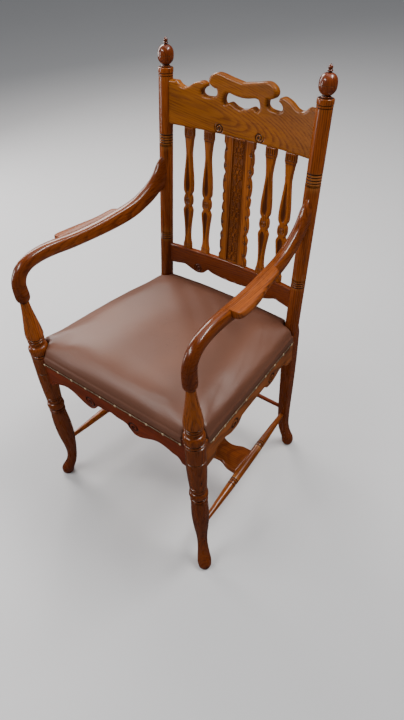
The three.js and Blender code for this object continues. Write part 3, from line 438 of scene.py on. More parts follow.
def mark_wear_and_light(piece):
    """Marks hollows, for old polish and painted shade, and rubbed edges, for wear and painted highlights,
    from the way the surface bends, in bends per metre.
    """
    points = points_of(piece)
    normals = np.empty(len(points) * 3)
    piece.data.vertices.foreach_get("normal", normals)
    normals = normals.reshape(-1, 3)
    a, b, near = neighbours(piece)
    step = points[b] - points[a]
    square = np.maximum((step**2).sum(1), (0.3 * MM) ** 2)
    bend = (np.bincount(a, (step * normals[a]).sum(1) / square, len(points))
            + np.bincount(b, -(step * normals[b]).sum(1) / square, len(points))) / near
    bend = evened(piece, bend[:, None], 2)[:, 0]
    mark(piece, "hollow", np.clip(np.maximum(marked(piece, "hollow"), bend / 200 - 0.15), 0, 1))
    mark(piece, "worn_and_highlit", np.clip(np.maximum(marked(piece, "worn_and_highlit"), -bend / 260 - 0.25), 0, 1))


def join(name, pieces):
    """One piece of several."""
    start()
    for other in pieces:
        other.select_set(True)
    bpy.context.view_layer.objects.active = pieces[0]
    bpy.ops.object.join()
    whole = bpy.context.object
    whole.name = name
    return whole


def twin(piece, name):
    """A copy with its own mesh."""
    copy = piece.copy()
    copy.data = piece.data.copy()
    copy.name = name
    bpy.context.scene.collection.objects.link(copy)
    return copy


def dress(piece, material, nodes, angle=35, marks_wear_and_light=True):
    """Gives a piece its finish and the place that it holds in the frame."""
    pick(piece)
    piece.data.materials.clear()
    piece.data.materials.append(material)
    bpy.ops.object.shade_smooth_by_angle(angle=math.radians(angle))
    if marks_wear_and_light:
        mark_wear_and_light(piece)
    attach(piece, "root")
    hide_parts(*nodes)
    return piece


# Nodes


def feed(tree, node, inputs):
    """Links a node's inputs to the sockets given, and sets the others to the values given."""
    for name, value in inputs.items():
        if isinstance(value, bpy.types.NodeSocket):
            tree.links.new(value, node.inputs[name])
        else:
            node.inputs[name].default_value = value


def put(tree, kind, inputs=None, **settings):
    """A shader node with its inputs linked or set."""
    node = tree.nodes.new("ShaderNode" + kind)
    for name, value in settings.items():
        setattr(node, name, value)
    feed(tree, node, inputs or {})
    return node


def reckon(tree, operation, *values):
    """The result of a Math node."""
    return put(tree, "Math", dict(enumerate(values)), operation=operation).outputs[0]


def blend(tree, share, one, other):
    """Two colours mixed, with a share of the other."""
    return put(tree, "Mix", {0: share, 6: one, 7: other}, data_type="RGBA").outputs[2]


def fade(tree, value, low, high, to_low=0.0, to_high=1.0):
    """A value spread smoothly from one range to another."""
    inputs = {"Value": value, "From Min": low, "From Max": high, "To Min": to_low, "To Max": to_high}
    return put(tree, "MapRange", inputs, interpolation_type="SMOOTHSTEP").outputs["Result"]


def scaled(tree, vector, scale):
    return put(tree, "VectorMath", {0: vector, 1: scale}, operation="MULTIPLY").outputs[0]


def noise(tree, vector, scale, detail=2.0, rough=0.5):
    inputs = {"Vector": vector, "Scale": scale, "Detail": detail, "Roughness": rough}
    return put(tree, "TexNoise", inputs).outputs["Fac"]


def attribute(tree, name):
    return put(tree, "Attribute", attribute_name=name).outputs["Fac"]


def group(name, inputs, outputs):
    """A shared effect: a node group with its sockets, once for all materials that use it."""
    tree = bpy.data.node_groups.new(name, "ShaderNodeTree")
    for kind, sockets in (("INPUT", inputs), ("OUTPUT", outputs)):
        for label, socket in sockets.items():
            tree.interface.new_socket(label, in_out=kind, socket_type="NodeSocket" + socket)
    return tree, tree.nodes.new("NodeGroupInput").outputs, tree.nodes.new("NodeGroupOutput").inputs


def effect(tree, name, inputs):
    """Places a shared effect in a material with its own values."""
    node = tree.nodes.new("ShaderNodeGroup")
    node.node_tree = bpy.data.node_groups[name]
    feed(tree, node, inputs)
    return node.outputs


def oak_grain_group():
    """Growth rings round a leaning pith, with pores and slow changes of tone."""
    tree, given, result = group(
        "Oak grain",
        {"Vector": "Vector", "Light": "Color", "Vein": "Color", "Pitch": "Float", "Wander": "Float",
         "Pores": "Float", "Rings": "Float"},
        {"Color": "Color", "Height": "Float", "Tone": "Float"})
    slow = noise(tree, scaled(tree, given["Vector"], (1, 1, 0.2)), 14.0, 3.0)
    swerve = noise(tree, scaled(tree, given["Vector"], (1, 1, 0.35)), 60.0, 2.0)
    part = put(tree, "SeparateXYZ", {0: given["Vector"]}).outputs
    square = reckon(tree, "ADD", reckon(tree, "MULTIPLY", part[0], part[0]),
                    reckon(tree, "MULTIPLY", part[1], part[1]))
    radius = reckon(tree, "SQRT", square)
    wander = reckon(tree, "MULTIPLY", reckon(tree, "SUBTRACT", slow, 0.5), given["Wander"])
    jitter = reckon(tree, "MULTIPLY", reckon(tree, "SUBTRACT", swerve, 0.5), 0.0022)
    place = reckon(tree, "ADD", reckon(tree, "ADD", radius, wander), jitter)
    ring = reckon(tree, "FRACT", reckon(tree, "DIVIDE", place, given["Pitch"]))
    early = reckon(tree, "MULTIPLY", fade(tree, ring, 0.0, 0.14), fade(tree, ring, 0.7, 0.18))
    uneven = fade(tree, noise(tree, scaled(tree, given["Vector"], (1, 1, 0.12)), 70.0, 3.0), 0.36, 0.64, 0.25,
                  1.0)
    stretch = scaled(tree, given["Vector"], (1, 1, 0.045))
    dash = fade(tree, noise(tree, stretch, 900.0, 1.0), 0.56, 0.7)
    fleck = fade(tree, noise(tree, stretch, 300.0, 4.0, 0.65), 0.42, 0.72)
    pores = reckon(tree, "MULTIPLY", dash, reckon(tree, "MULTIPLY_ADD", early, 0.7, 0.3))
    pores = reckon(tree, "MULTIPLY", pores, given["Pores"])
    rings = reckon(tree, "MULTIPLY", reckon(tree, "MULTIPLY", early, uneven), given["Rings"])
    veins = reckon(tree, "ADD", rings, reckon(tree, "MULTIPLY", fleck, 0.42))
    tone = reckon(tree, "MULTIPLY_ADD", slow, 1.3, 0.35)
    wood = blend(tree, veins, given["Light"], given["Vein"])
    wood = blend(tree, reckon(tree, "MULTIPLY", pores, 0.7), wood,
                 blend(tree, 0.6, given["Vein"], (0, 0, 0, 1)))
    wood = put(tree, "HueSaturation", {"Value": tone, "Color": wood}).outputs[0]
    tree.links.new(wood, result["Color"])
    height = reckon(tree, "SUBTRACT", reckon(tree, "MULTIPLY", early, -0.25), pores)
    tree.links.new(height, result["Height"])
    tree.links.new(slow, result["Tone"])


def wear_and_light_group():
    """Dark polish and painted shade kept in hollows, and pale rubbed edges that are also painted highlights,
    broken up so that neither looks drawn.
    """
    tree, given, result = group(
        "Wear and painted light", {"Vector": "Vector", "Color": "Color", "Polish and shade": "Color", "Bare and highlight": "Color", "Stain and shade": "Color",
                 "Amount": "Float"},
        {"Color": "Color", "Rough": "Float"})
    streaks = scaled(tree, given["Vector"], (1, 1, 0.16))
    broken = fade(tree, noise(tree, streaks, 90.0, 3.0, 0.5), 0.35, 0.65)
    # Hollows get the dark colour as old polish and painted shade; rubbed edges get the pale colour as wear
    # and painted highlight.
    hollow = reckon(tree, "MULTIPLY", attribute(tree, "hollow"), 0.9)
    rubbed_and_highlit = reckon(tree, "MULTIPLY", attribute(tree, "worn_and_highlit"), reckon(tree, "MULTIPLY_ADD", broken, 0.6, 0.4))
    rubbed_and_highlit = reckon(tree, "MULTIPLY", rubbed_and_highlit, given["Amount"])
    grime = fade(tree, noise(tree, streaks, 24.0, 3.0, 0.5), 0.45, 0.8, 0.0, 0.3)
    shade = blend(tree, grime, given["Color"], blend(tree, 0.5, given["Color"], given["Polish and shade"]))
    shade = blend(tree, rubbed_and_highlit, shade, given["Bare and highlight"])
    shade = blend(tree, attribute(tree, "stain_and_shade"), shade, blend(tree, 0.7, given["Color"], given["Stain and shade"]))
    shade = blend(tree, hollow, shade, given["Polish and shade"])
    tree.links.new(shade, result["Color"])
    rough = reckon(tree, "MULTIPLY_ADD", hollow, 0.25, reckon(tree, "MULTIPLY", broken, 0.08))
    tree.links.new(rough, result["Rough"])


def weave_group():
    """Threads crossing over and under, in the plane of the first two coordinates."""
    tree, given, result = group(
        "Plain weave", {"Vector": "Vector", "Pitch": "Float"}, {"Height": "Float", "Gap": "Float"})
    part = put(tree, "SeparateXYZ", {0: given["Vector"]}).outputs
    angle = reckon(tree, "DIVIDE", math.pi, given["Pitch"])
    waves = [reckon(tree, "SINE", reckon(tree, "MULTIPLY", part[i], angle)) for i in (0, 1)]
    warp, weft = (reckon(tree, "ABSOLUTE", wave) for wave in waves)
    over = reckon(tree, "GREATER_THAN", reckon(tree, "MULTIPLY", waves[0], waves[1]), 0.0)
    under = reckon(tree, "SUBTRACT", 1.0, over)
    height = reckon(tree, "ADD", reckon(tree, "MULTIPLY", warp, over), reckon(tree, "MULTIPLY", weft, under))
    tree.links.new(height, result["Height"])
    tree.links.new(reckon(tree, "MULTIPLY", fade(tree, warp, 0.45, 0.1), fade(tree, weft, 0.45, 0.1)),
                   result["Gap"])


def leather_grain_group():
    """Fine pebbled hide with creases and a slow mottle."""
    tree, given, result = group(
        "Leather grain", {"Vector": "Vector", "Scale": "Float"},
        {"Height": "Float", "Mottle": "Float", "Crease": "Float"})
    bent = put(tree, "VectorMath", {0: given["Vector"], 1: put(tree, "TexNoise", {
        "Vector": given["Vector"], "Scale": 40.0}).outputs["Color"], 2: (0.006, 0.006, 0.006)},
        operation="MULTIPLY_ADD").outputs[0]
    cell = put(tree, "TexVoronoi", {"Vector": given["Vector"], "Scale": given["Scale"]},
               feature="F1").outputs["Distance"]
    pebble = fade(tree, cell, 0.15, 0.75, 1.0, 0.0)
    line = put(tree, "TexVoronoi", {"Vector": bent, "Scale": 34.0},
               feature="DISTANCE_TO_EDGE").outputs["Distance"]
    crease = fade(tree, line, 0.0, 0.035, 1.0, 0.0)
    crease = reckon(tree, "MULTIPLY", crease, fade(tree, noise(tree, given["Vector"], 9.0, 2.0), 0.45, 0.7))
    mottle = noise(tree, given["Vector"], 5.0, 5.0, 0.5)
    height = reckon(tree, "SUBTRACT", pebble, reckon(tree, "MULTIPLY", crease, 0.6))
    tree.links.new(height, result["Height"])
    tree.links.new(mottle, result["Mottle"])
    tree.links.new(crease, result["Crease"])


def blank(name):
    """A new material with its tree, its shader and the piece's own coordinates."""
    material = bpy.data.materials.new(name)
    material.use_nodes = True
    tree = material.node_tree
    return material, tree, tree.nodes["Principled BSDF"], put(tree, "TexCoord").outputs["Object"]


def wire(tree, shader, base, rough, height, distance, strength=0.6):
    """Feeds a shader with its colour, its roughness and the bumps of a height."""
    bump = put(tree, "Bump", {"Height": height, "Distance": distance, "Strength": strength})
    feed(tree, shader, {"Base Color": base, "Roughness": rough, "Normal": bump.outputs[0]})


# Turns that bring the grain of a piece along its x, y or z onto the pattern's z
GRAIN = {"x": (0, -math.pi / 2, 0), "y": (math.pi / 2, 0, 0), "z": (0, 0, 0)}


def oak(name, light, vein, along="z", pith=(0.03, 0.05, 0), lean=(0.02, 0.03, 0), pitch=5.5 * MM,
        wander=8 * MM, pores=0.8, rings=0.5, bare=0.45, gloss=0.3, coat=0.8):
    """Polished oak, its grain along one axis round a pith that leans across the piece."""
    kept = bpy.data.materials.get(name)
    if kept:
        return kept
    material, tree, shader, place = blank(name)
    along_z = put(tree, "Mapping", {"Vector": place, "Rotation": GRAIN[along]}).outputs[0]
    turned = put(tree, "Mapping", {"Vector": along_z, "Location": pith, "Rotation": lean}).outputs[0]
    grain = effect(tree, "Oak grain", {"Vector": turned, "Light": (*light, 1), "Vein": (*vein, 1),
                                       "Pitch": pitch, "Wander": wander, "Pores": pores, "Rings": rings})
    worn_and_highlit = effect(tree, "Wear and painted light", {"Vector": along_z, "Color": grain["Color"], "Polish and shade": paint("polish_and_shade"),
                                 "Bare and highlight": paint("bare"), "Stain and shade": paint("stain_and_shade"),
                                 "Amount": bare})
    rough = reckon(tree, "ADD", worn_and_highlit["Rough"],
                   reckon(tree, "MULTIPLY_ADD", grain["Tone"], 0.12, gloss - 0.06))
    wire(tree, shader, worn_and_highlit["Color"], rough, grain["Height"], distance=0.12 * MM, strength=0.3)
    shader.inputs["Coat Weight"].default_value = coat
    shader.inputs["Coat Roughness"].default_value = 0.13
    shader.inputs["Specular IOR Level"].default_value = 0.2
    return material


def golden_oak(name, **settings):
    return oak(name, colours().oak, colours().oak_vein, **settings)


def stained_oak(name, red_share, **settings):
    """Oak between the golden and the red."""
    wood = [a * (1 - red_share) + b * red_share for a, b in zip(colours().oak, colours().red_oak)]
    return oak(name, wood, colours().red_vein, **settings)


def leather_material():
    material, tree, shader, place = blank("Seat leather")
    grain = effect(tree, "Leather grain", {"Vector": place, "Scale": 520.0})
    base = blend(tree, fade(tree, grain["Mottle"], 0.3, 0.7, 0.45, 1.0), paint("leather_shade"),
                 paint("leather"))
    base = blend(tree, reckon(tree, "MULTIPLY", grain["Crease"], 0.35), base, paint("polish_and_shade"))
    rubbed_and_highlit = blend(tree, 0.3, paint("leather"), (1, 0.9, 0.8, 1))
    base = blend(tree, reckon(tree, "MULTIPLY", attribute(tree, "worn_and_highlit"), 0.4), base, rubbed_and_highlit)
    base = blend(tree, reckon(tree, "MULTIPLY", attribute(tree, "hollow"), 0.6), base, paint("polish_and_shade"))
    rough = reckon(tree, "MULTIPLY_ADD", grain["Mottle"], 0.12, 0.4)
    wire(tree, shader, base, rough, grain["Height"], distance=0.15 * MM, strength=0.5)
    shader.inputs["Specular IOR Level"].default_value = 0.65
    return material


def brass_material():
    material, tree, shader, place = blank("Antique brass")
    tarnish = fade(tree, noise(tree, place, 160.0, 4.0, 0.6), 0.4, 0.7)
    dull = blend(tree, 0.85, paint("brass"), paint("polish_and_shade"))
    base = blend(tree, reckon(tree, "MULTIPLY", tarnish, 0.35), paint("brass"), dull)
    base = blend(tree, attribute(tree, "hollow"), base, dull)
    rough = reckon(tree, "MULTIPLY_ADD", tarnish, 0.2, 0.24)
    wire(tree, shader, base, rough, noise(tree, place, 900.0), distance=0.05 * MM, strength=0.3)
    shader.inputs["Metallic"].default_value = 0.45
    return material


def jute_material(name, pitch, stripe=0.0):
    material, tree, shader, place = blank(name)
    weave = effect(tree, "Plain weave", {"Vector": place, "Pitch": pitch})
    thread = noise(tree, place, 420.0, 3.0, 0.7)
    base = blend(tree, fade(tree, thread, 0.3, 0.7), paint("jute"), blend(
        tree, 0.45, paint("jute"), paint("polish_and_shade")))
    # The gaps between the threads are painted dark as shade.
    base = blend(tree, reckon(tree, "MULTIPLY", weave["Gap"], 0.85), base, paint("polish_and_shade"))
    if stripe:
        band = fade(tree, attribute(tree, "inset"), 0.72, 0.78)
        band = reckon(tree, "MULTIPLY", band, fade(tree, attribute(tree, "inset"), 0.92, 0.86))
        base = blend(tree, reckon(tree, "MULTIPLY", band, stripe), base, paint("polish_and_shade"))
    rough = reckon(tree, "MULTIPLY_ADD", thread, 0.1, 0.85)
    wire(tree, shader, base, rough, weave["Height"], distance=0.5 * MM, strength=0.8)
    return material


def beech_material():
    material, tree, shader, place = blank("Raw beech")
    grain = effect(tree, "Oak grain", {
        "Vector": put(tree, "Mapping",
                      {"Vector": place, "Rotation": GRAIN["x"], "Location": (0.1, 0.04, 0)}).outputs[0],
        "Light": paint("beech"), "Vein": (*[c * 0.6 for c in colours().beech], 1),
        "Pitch": 3 * MM, "Wander": 4 * MM, "Pores": 0.25, "Rings": 0.4})
    dust = fade(tree, noise(tree, place, 30.0, 4.0), 0.4, 0.75, 0.0, 0.4)
    base = blend(tree, dust, grain["Color"], paint("polish_and_shade"))
    rough = reckon(tree, "MULTIPLY_ADD", dust, 0.3, 0.6)
    wire(tree, shader, base, rough, grain["Height"], distance=0.1 * MM)
    return material


def steel_material():
    material, tree, shader, place = blank("Old screws")
    rust = fade(tree, noise(tree, place, 300.0, 5.0, 0.6), 0.5, 0.65)
    base = blend(tree, rust, paint("steel"), (0.1, 0.045, 0.02, 1))
    rough = reckon(tree, "MULTIPLY_ADD", rust, 0.4, 0.4)
    wire(tree, shader, base, rough, rust, distance=0.05 * MM)
    tree.links.new(reckon(tree, "SUBTRACT", 1.0, rust), shader.inputs["Metallic"])
    return material


# Legs, posts and finials

# (height, radius) of a front leg in mm, from the floor up. Twice the same point is a sharp corner.
FRONT_LEG = [
    (0.2, 12.5), (0.4, 14.6), (2.5, 16.6), (9, 17.9), (21, 18.6), (36, 16.8), (50, 15), (68, 13.8),
    (89, 13.7), (119, 15.7), (154, 19.1), (190, 21.6), (226, 22.3), (258, 21.4), (276.5, 20.4), (276.5, 20.4),
    (277.3, 19), (278.2, 20.8), (280.5, 21.9), (282.8, 20.8), (283.8, 18.8), (283.8, 18.8), (284.9, 21),
    (287.4, 22), (289.8, 21), (290.8, 18.9), (290.8, 18.9), (293.5, 18.9), (293.5, 18.9), (294.5, 21),
    (298.5, 22.9), (304, 23.6), (309.5, 22.9), (313.4, 21), (315.2, 18.6), (315.2, 18.6), (319, 18.2),
    (323, 18.9), (324.5, 20.9), (327.5, 21.3), (330.6, 20.8), (331.6, 19.4), (331.6, 19.4), (332.8, 21),
    (336, 21.4), (337, 21.4), (337, 21.4), (338, 20), (339, 21.5), (339, 21.5), (354, 22.4), (378, 23.5),
    (400, 24.3), (424, 24.5), (434.6, 24.5), (434.6, 24.5), (435.3, 23.4), (436.7, 23.4), (437.4, 24.5),
    (437.4, 24.5), (462, 24.5), (488.6, 24.5), (488.6, 24.5), (489.6, 22.4), (489.6, 22.4), (491, 24.2),
    (493.4, 24.8), (495.8, 24.2), (497, 21.8), (497, 21.8), (498.8, 23.2), (502, 24.8), (508, 25.6),
    (514, 25.6), (519, 24.4), (522.5, 22.2), (524, 19.6), (524, 19.6), (526.5, 18.2), (530, 17.8),
    (533.2, 18.8), (533.2, 18.8), (534.6, 20.8), (537, 21.7), (539.4, 20.9), (540.6, 18.6), (540.6, 18.6),
    (542, 21), (544.4, 22), (546.8, 21.1), (548, 18.8), (548, 18.8), (549.6, 21.2), (553, 22.5), (560, 22.8),
    (571, 21.8), (590, 19.1), (614, 15.4), (636, 12.5), (650, 11.2), (657.2, 11),
]
VASE_TOP = 297  # mm. Below it a front leg is a little deeper along the diagonal.
# (share of the low ring's height, share of the foot's kick)
FOOT_PATH = [(0, 1), (0.05, 0.93), (0.1, 0.62), (0.17, 0.2), (0.27, -0.1), (0.4, -0.2), (0.6, -0.12),
             (0.85, 0), (1, 0), (3, 0)]


def front_leg(side):
    """A front leg, its pad foot turned out along the diagonal."""
    profile = smooth(FRONT_LEG, 4)
    path = smooth(FOOT_PATH, 8)
    outward = Vector((side, -1, 0)).normalized()
    along = Vector((0, 0, 1)).cross(outward)
    ratio = sizes().front_leg_radius / (24.5 * MM)
    rings = []
    for height, radius in profile:
        radius *= MM * ratio
        kick = FRONT_KICK * table(path, height * MM / LOW_RING)
        centre = Vector((side * LEG_SPREAD, FRONT, height * MM)) + outward * kick
        swell = 1 + 0.1 * math.sin(math.pi * min(height / VASE_TOP, 1))
        rings.append(section(centre, outward, along, radius * swell, radius))
    # The grooves between the beads are marked dark: old polish and painted shade.
    return lofted("front leg", rings, grooves(profile))


# (share of the seat line's height, share of the kick, share of the post's radius, squareness)
BACK_LEG = [
    (0, 1, 0.62, 2.3), (0, 1, 0.78, 2.3), (0.008, 1, 0.88, 2.3), (0.028, 0.98, 0.95, 2.4),
    (0.06, 0.85, 0.92, 2.5), (0.1, 0.5, 0.83, 2.9), (0.15, 0.15, 0.78, 3.6), (0.21, -0.08, 0.77, 4.6),
    (0.33, -0.15, 0.81, 6), (0.55, -0.05, 0.9, 6), (0.75, 0, 0.97, 6), (0.93, 0, 1, 6), (0.97, 0, 1, 5),
]
# (height above the seat line, number of grooves, their pitch, half length of the ridges painted pale as
# highlights) in mm
POST_RINGS = ((137, 4, 5.8, 13), (402, 5, 6.5, 17))


def groove(middle, radius, deep, wide):
    """A turned groove as corners in a profile, in mm."""
    edge, floor = radius, radius - deep
    return [(middle - wide, edge), (middle - wide, edge), (middle - wide / 3, floor),
            (middle + wide / 3, floor), (middle + wide, edge), (middle + wide, edge)]


def back_leg(side):
    """A back leg, square below the seat, with its ringed round post."""
    outward = Vector((side, 1, 0)).normalized()
    ratio = sizes().post_radius / (18 * MM)
    rings = []
    for share, kick, size, power in smooth(BACK_LEG, 4):
        foot = Vector((side * POST_SPREAD, FRONT + LEG_DEPTH, max(share, 0) * SEAT_LINE))
        centre = foot + outward * BACK_KICK * kick
        half = size * sizes().post_radius
        rings.append(section(centre, (1, 0, 0), (0, 1, 0), half, half, power))
    post = [(9, 18), (9, 18), (60, 18)]
    for place, count, pitch, _ in POST_RINGS:
        reach = (count - 1) / 2 * pitch + 3
        post += [(place - 30, 18), (place - reach, 18)]
        for i in range(count):
            post += groove(place + (i - (count - 1) / 2) * pitch, 18, 1.8, 1.6)
        post += [(place + reach, 18), (place + 30, 18)]
    post += [(500, 18), *groove(553.4, 18, 1.5, 1.1), (556.2, 18.1), *groove(559, 18.2, 1.5, 1.1),
             (562, 18.7), (569.5, 18.8), (571.4, 18.2), (572, 17), (572, 17), (572, 11)]
    turn = BACK.to_3x3()
    post = smooth(post, 2)
    # The grooves are marked dark: old polish and painted shade.
    dark = np.concatenate([np.zeros(len(rings)), grooves(post)])
    for place, radius in post:
        centre = BACK @ Vector((side * POST_SPREAD, 0, place * MM))
        radius *= MM * ratio
        rings.append(section(centre, turn @ Vector((1, 0, 0)), turn @ Vector((0, 1, 0)), radius, radius))
    piece = lofted("back leg", rings, dark)
    points = points_of(piece)
    height = np.linalg.norm(points[:, 1:] - (BACK.translation.y, BACK.translation.z), axis=1) / MM
    # The ridges between the grooves above the seat are painted pale as highlights.
    ridges = sum(np.clip((reach - np.abs(height - place)) / 2, 0, 1) for place, _, _, reach in POST_RINGS)
    mark(piece, "worn_and_highlit", ridges * 0.6 * (points[:, 2] > SEAT_LINE) * (1 - marked(piece, "hollow")))
    return piece


# (height above the collar, radius) of a finial in mm
FINIAL = [
    (-12, 0), (-12, 0), (-12, 6), (-12, 6), (0.3, 6), (0.3, 6), (0.3, 10.4), (0.3, 10.4), (1.4, 11.2),
    (3, 10.9), (4.2, 9), (4.2, 9), (5.2, 8.8), (6.6, 10.4), (9.8, 14.2), (14, 17.2), (19, 19), (24.4, 19.5),
    (24.4, 19.5), (25, 18.9), (25.6, 19.5), (25.6, 19.5), (31, 19.3), (37, 18), (42, 15.3), (45.6, 11.4),
    (47.8, 6.6), (48.6, 4.2), (48.6, 4.2), (49.6, 3.9), (50.4, 5.2), (52, 6), (53.4, 5.2), (54.2, 3.6),
    (54.2, 3.6), (55.6, 4.7), (58, 5), (60.6, 3.9), (62.8, 2.1), (64.1, 1), (64.3, 0),
]


# Arms

# (share of the reach, share of the rise, share of the half depth, of the half width, turn of the section)
ARM = [
    (0, 0.004, 0.4, 0.48, 1), (0, 0.02, 0.68, 0.76, 1), (0, 0.075, 0.88, 0.96, 1), (0, 0.17, 1, 1.02, 1),
    (-0.001, 0.38, 1, 1.03, 1), (0, 0.58, 0.97, 1.02, 0.94), (0.01, 0.77, 0.97, 1, 0.78),
    (0.032, 0.945, 0.97, 1, 0.55), (0.066, 1.07, 0.98, 1, 0.31), (0.11, 1.13, 0.98, 1, 0.11),
    (0.17, 1.145, 1, 1, 0), (0.24, 1.11, 1, 1, 0), (0.32, 1.05, 1, 1, 0), (0.41, 1.005, 1, 1, 0),
    (0.51, 0.975, 1.06, 1, 0), (0.6, 0.97, 1.14, 1, 0), (0.69, 0.985, 1.2, 1, 0), (0.76, 1.04, 1.26, 1, 0),
    (0.805, 1.12, 1.34, 0.98, 0), (0.845, 1.2, 1.43, 0.96, 0), (0.88, 1.3, 1.55, 0.94, 0),
    (0.915, 1.44, 1.78, 0.92, 0), (0.945, 1.59, 2.2, 0.9, 0), (0.985, 1.68, 2.57, 0.88, 0),
]
ARM_TAIL = 799 * MM
ARM_REACH = LEG_DEPTH + (ARM_TAIL - SEAT_LINE) * math.tan(RAKE)
# (share of the pad's length, share of its reach)
PAD = [(0, -0.35), (0.004, 0.3), (0.015, 0.66), (0.035, 0.88), (0.07, 1), (0.14, 1.09), (0.24, 1.12),
       (0.34, 1.1), (0.44, 1.02), (0.54, 0.88), (0.64, 0.72), (0.74, 0.62), (0.84, 0.58), (0.92, 0.54),
       (0.965, 0.4), (1, -0.35)]
PAD_START, PAD_END = 137 * MM, 327 * MM


def arm_height(share):
    """Height of an arm's axis at a share of its rise. Above 1 it climbs to its tail on the post."""
    tail = (ARM_TAIL - ARM_FOOT) / sizes().arm_rise
    rise = np.where(share > 1, 1 + (tail - 1) * (share - 1) / (ARM[-1][1] - 1), share)
    return ARM_FOOT + rise * sizes().arm_rise


def arm_line(share):
    """Distance of an arm's axis from the middle at a share of its reach."""
    return LEG_SPREAD + (POST_SPREAD - LEG_SPREAD) * share


# (share of the reach, squareness of the arm's section)
ARM_SQUARE = [(0, 2.3), (0.2, 2.4), (0.35, 2.9), (0.65, 2.9), (0.8, 2.4), (1, 2.2)]


def arm(side):
    """The arm's sweep from the front leg's top to the post."""
    run = Vector((side * (POST_SPREAD - LEG_SPREAD), ARM_REACH, 0)).normalized()
    across = Vector((-run.y, run.x, 0))
    rings = []
    for reach, rise, depth, width, turn in smooth(ARM, 4):
        angle = math.pi / 2 * turn
        along = Vector((0, 0, math.cos(angle))) - run * math.sin(angle)
        centre = (side * arm_line(reach), FRONT + reach * ARM_REACH, float(arm_height(rise)))
        rings.append(section(centre, across, along, width * sizes().arm_width / 2,
                             depth * sizes().arm_depth / 2, table(ARM_SQUARE, reach), 36))
    piece = lofted("arm", rings)
    share = (points_of(piece)[:, 1] - FRONT) / ARM_REACH
    mark(piece, "stain_and_shade",
         table([(-0.05, 0.95), (0.03, 0.8), (0.14, 0.55), (0.3, 0.25), (0.66, 0.3), (0.9, 0.65)], share))
    return piece


def arm_pad(side):
    """The pad on the arm's outer side, its top level with the arm's."""
    sweep = smooth(ARM, 4)
    tops = np.column_stack([sweep[:, 0] * ARM_REACH,
                            arm_height(sweep[:, 1]) + sweep[:, 2] * sizes().arm_depth / 2])
    tops = tops[sweep[:, 0] > 0.15]
    half = sizes().arm_width / 2
    rings = []
    for share, reach in smooth(PAD, 6):
        y = PAD_START + share * (PAD_END - PAD_START)
        outer = half + reach * sizes().pad_reach
        inner = -half * 0.2
        top = table(tops, y) - 0.1 * MM
        thick = 22 * MM * (0.72 + 0.28 * min(1.0, max(reach, 0)))
        centre = (side * (arm_line(y / ARM_REACH) + (inner + outer) / 2), FRONT + y, top - thick / 2)
        rings.append(section(centre, (1, 0, 0), (0, 0, 1), (outer - inner) / 2, thick / 2, 3.2, 40))
    return lofted("arm pad", rings)


# Back

# Right halves of outlines, as runs of (share of the half width, share of the height). Runs meet in corners.
CREST = [
    [(0, 0), (0.97, 0)],
    [(0.97, 0), (0.97, 0.767)],
    [(0.97, 0.767), (0.838, 0.767)],
    [(0.838, 0.767), (0.8, 0.71), (0.75, 0.681), (0.69, 0.7), (0.61, 0.78), (0.525, 0.822), (0.475, 0.8),
     (0.462, 0.745)],
    [(0.462, 0.745), (0.505, 0.7), (0.52, 0.637), (0.485, 0.592), (0.43, 0.585), (0.36, 0.6), (0.322, 0.65),
     (0.325, 0.74)],
    [(0.325, 0.74), (0.37, 0.748), (0.42, 0.8), (0.43, 0.874), (0.395, 0.95), (0.31, 1), (0.16, 0.955),
     (0, 0.911)],
]
HAND_HOLE = [
    [(0, 0.481), (0.07, 0.51), (0.147, 0.563), (0.207, 0.519), (0.235, 0.58), (0.215, 0.68), (0.17, 0.707),
     (0.08, 0.68), (0, 0.67)],
]
LOWER_RAIL = [
    [(0, 0.106), (0.18, 0.14), (0.3, 0.21), (0.35, 0.288)],
    [(0.35, 0.288), (0.39, 0.15), (0.43, 0.05), (0.507, 0), (0.6, 0.09), (0.7, 0.227), (0.8, 0.2),
     (0.97, 0.15)],
    [(0.97, 0.15), (0.97, 1)],
    [(0.97, 1), (0, 1)],
]
SPINDLE = [
    [(0, 0), (0.84, 0)],
    [(0.84, 0), (0.84, 0.045)],
    [(0.84, 0.045), (0.64, 0.07), (0.53, 0.13), (0.68, 0.23), (0.92, 0.31), (0.98, 0.348), (0.58, 0.381)],
    [(0.58, 0.381), (0.84, 0.398), (0.92, 0.428), (0.84, 0.458), (0.58, 0.477)],
    [(0.58, 0.477), (0.94, 0.505), (1, 0.55), (0.95, 0.61), (0.73, 0.7), (0.54, 0.785), (0.62, 0.85),
     (0.82, 0.915)],
    [(0.82, 0.915), (1, 0.94)],
    [(1, 0.94), (1, 1)],
    [(1, 1), (0, 1)],
]
SPLAT = [
    [(0, 0), (1, 0)],
    [(1, 0), (1, 0.05)],
    [(1, 0.05), (0.9, 0.075), (0.95, 0.11), (0.97, 0.16), (0.91, 0.185)],
    [(0.91, 0.185), (0.96, 0.205), (0.96, 0.235), (0.88, 0.255)],
    [(0.88, 0.255), (0.84, 0.27), (0.93, 0.3), (0.97, 0.35), (0.93, 0.4), (0.87, 0.42)],
    [(0.87, 0.42), (0.95, 0.44), (0.93, 0.48), (0.86, 0.5)],
    [(0.86, 0.5), (0.93, 0.52), (0.95, 0.56), (0.87, 0.58)],
    [(0.87, 0.58), (0.93, 0.6), (0.97, 0.65), (0.93, 0.7), (0.84, 0.73), (0.88, 0.745)],
    [(0.88, 0.745), (0.96, 0.765), (0.96, 0.795), (0.91, 0.815)],
    [(0.91, 0.815), (0.97, 0.84), (0.95, 0.89), (0.9, 0.925), (1, 0.95)],
    [(1, 0.95), (1, 1)],
    [(1, 1), (0, 1)],
]


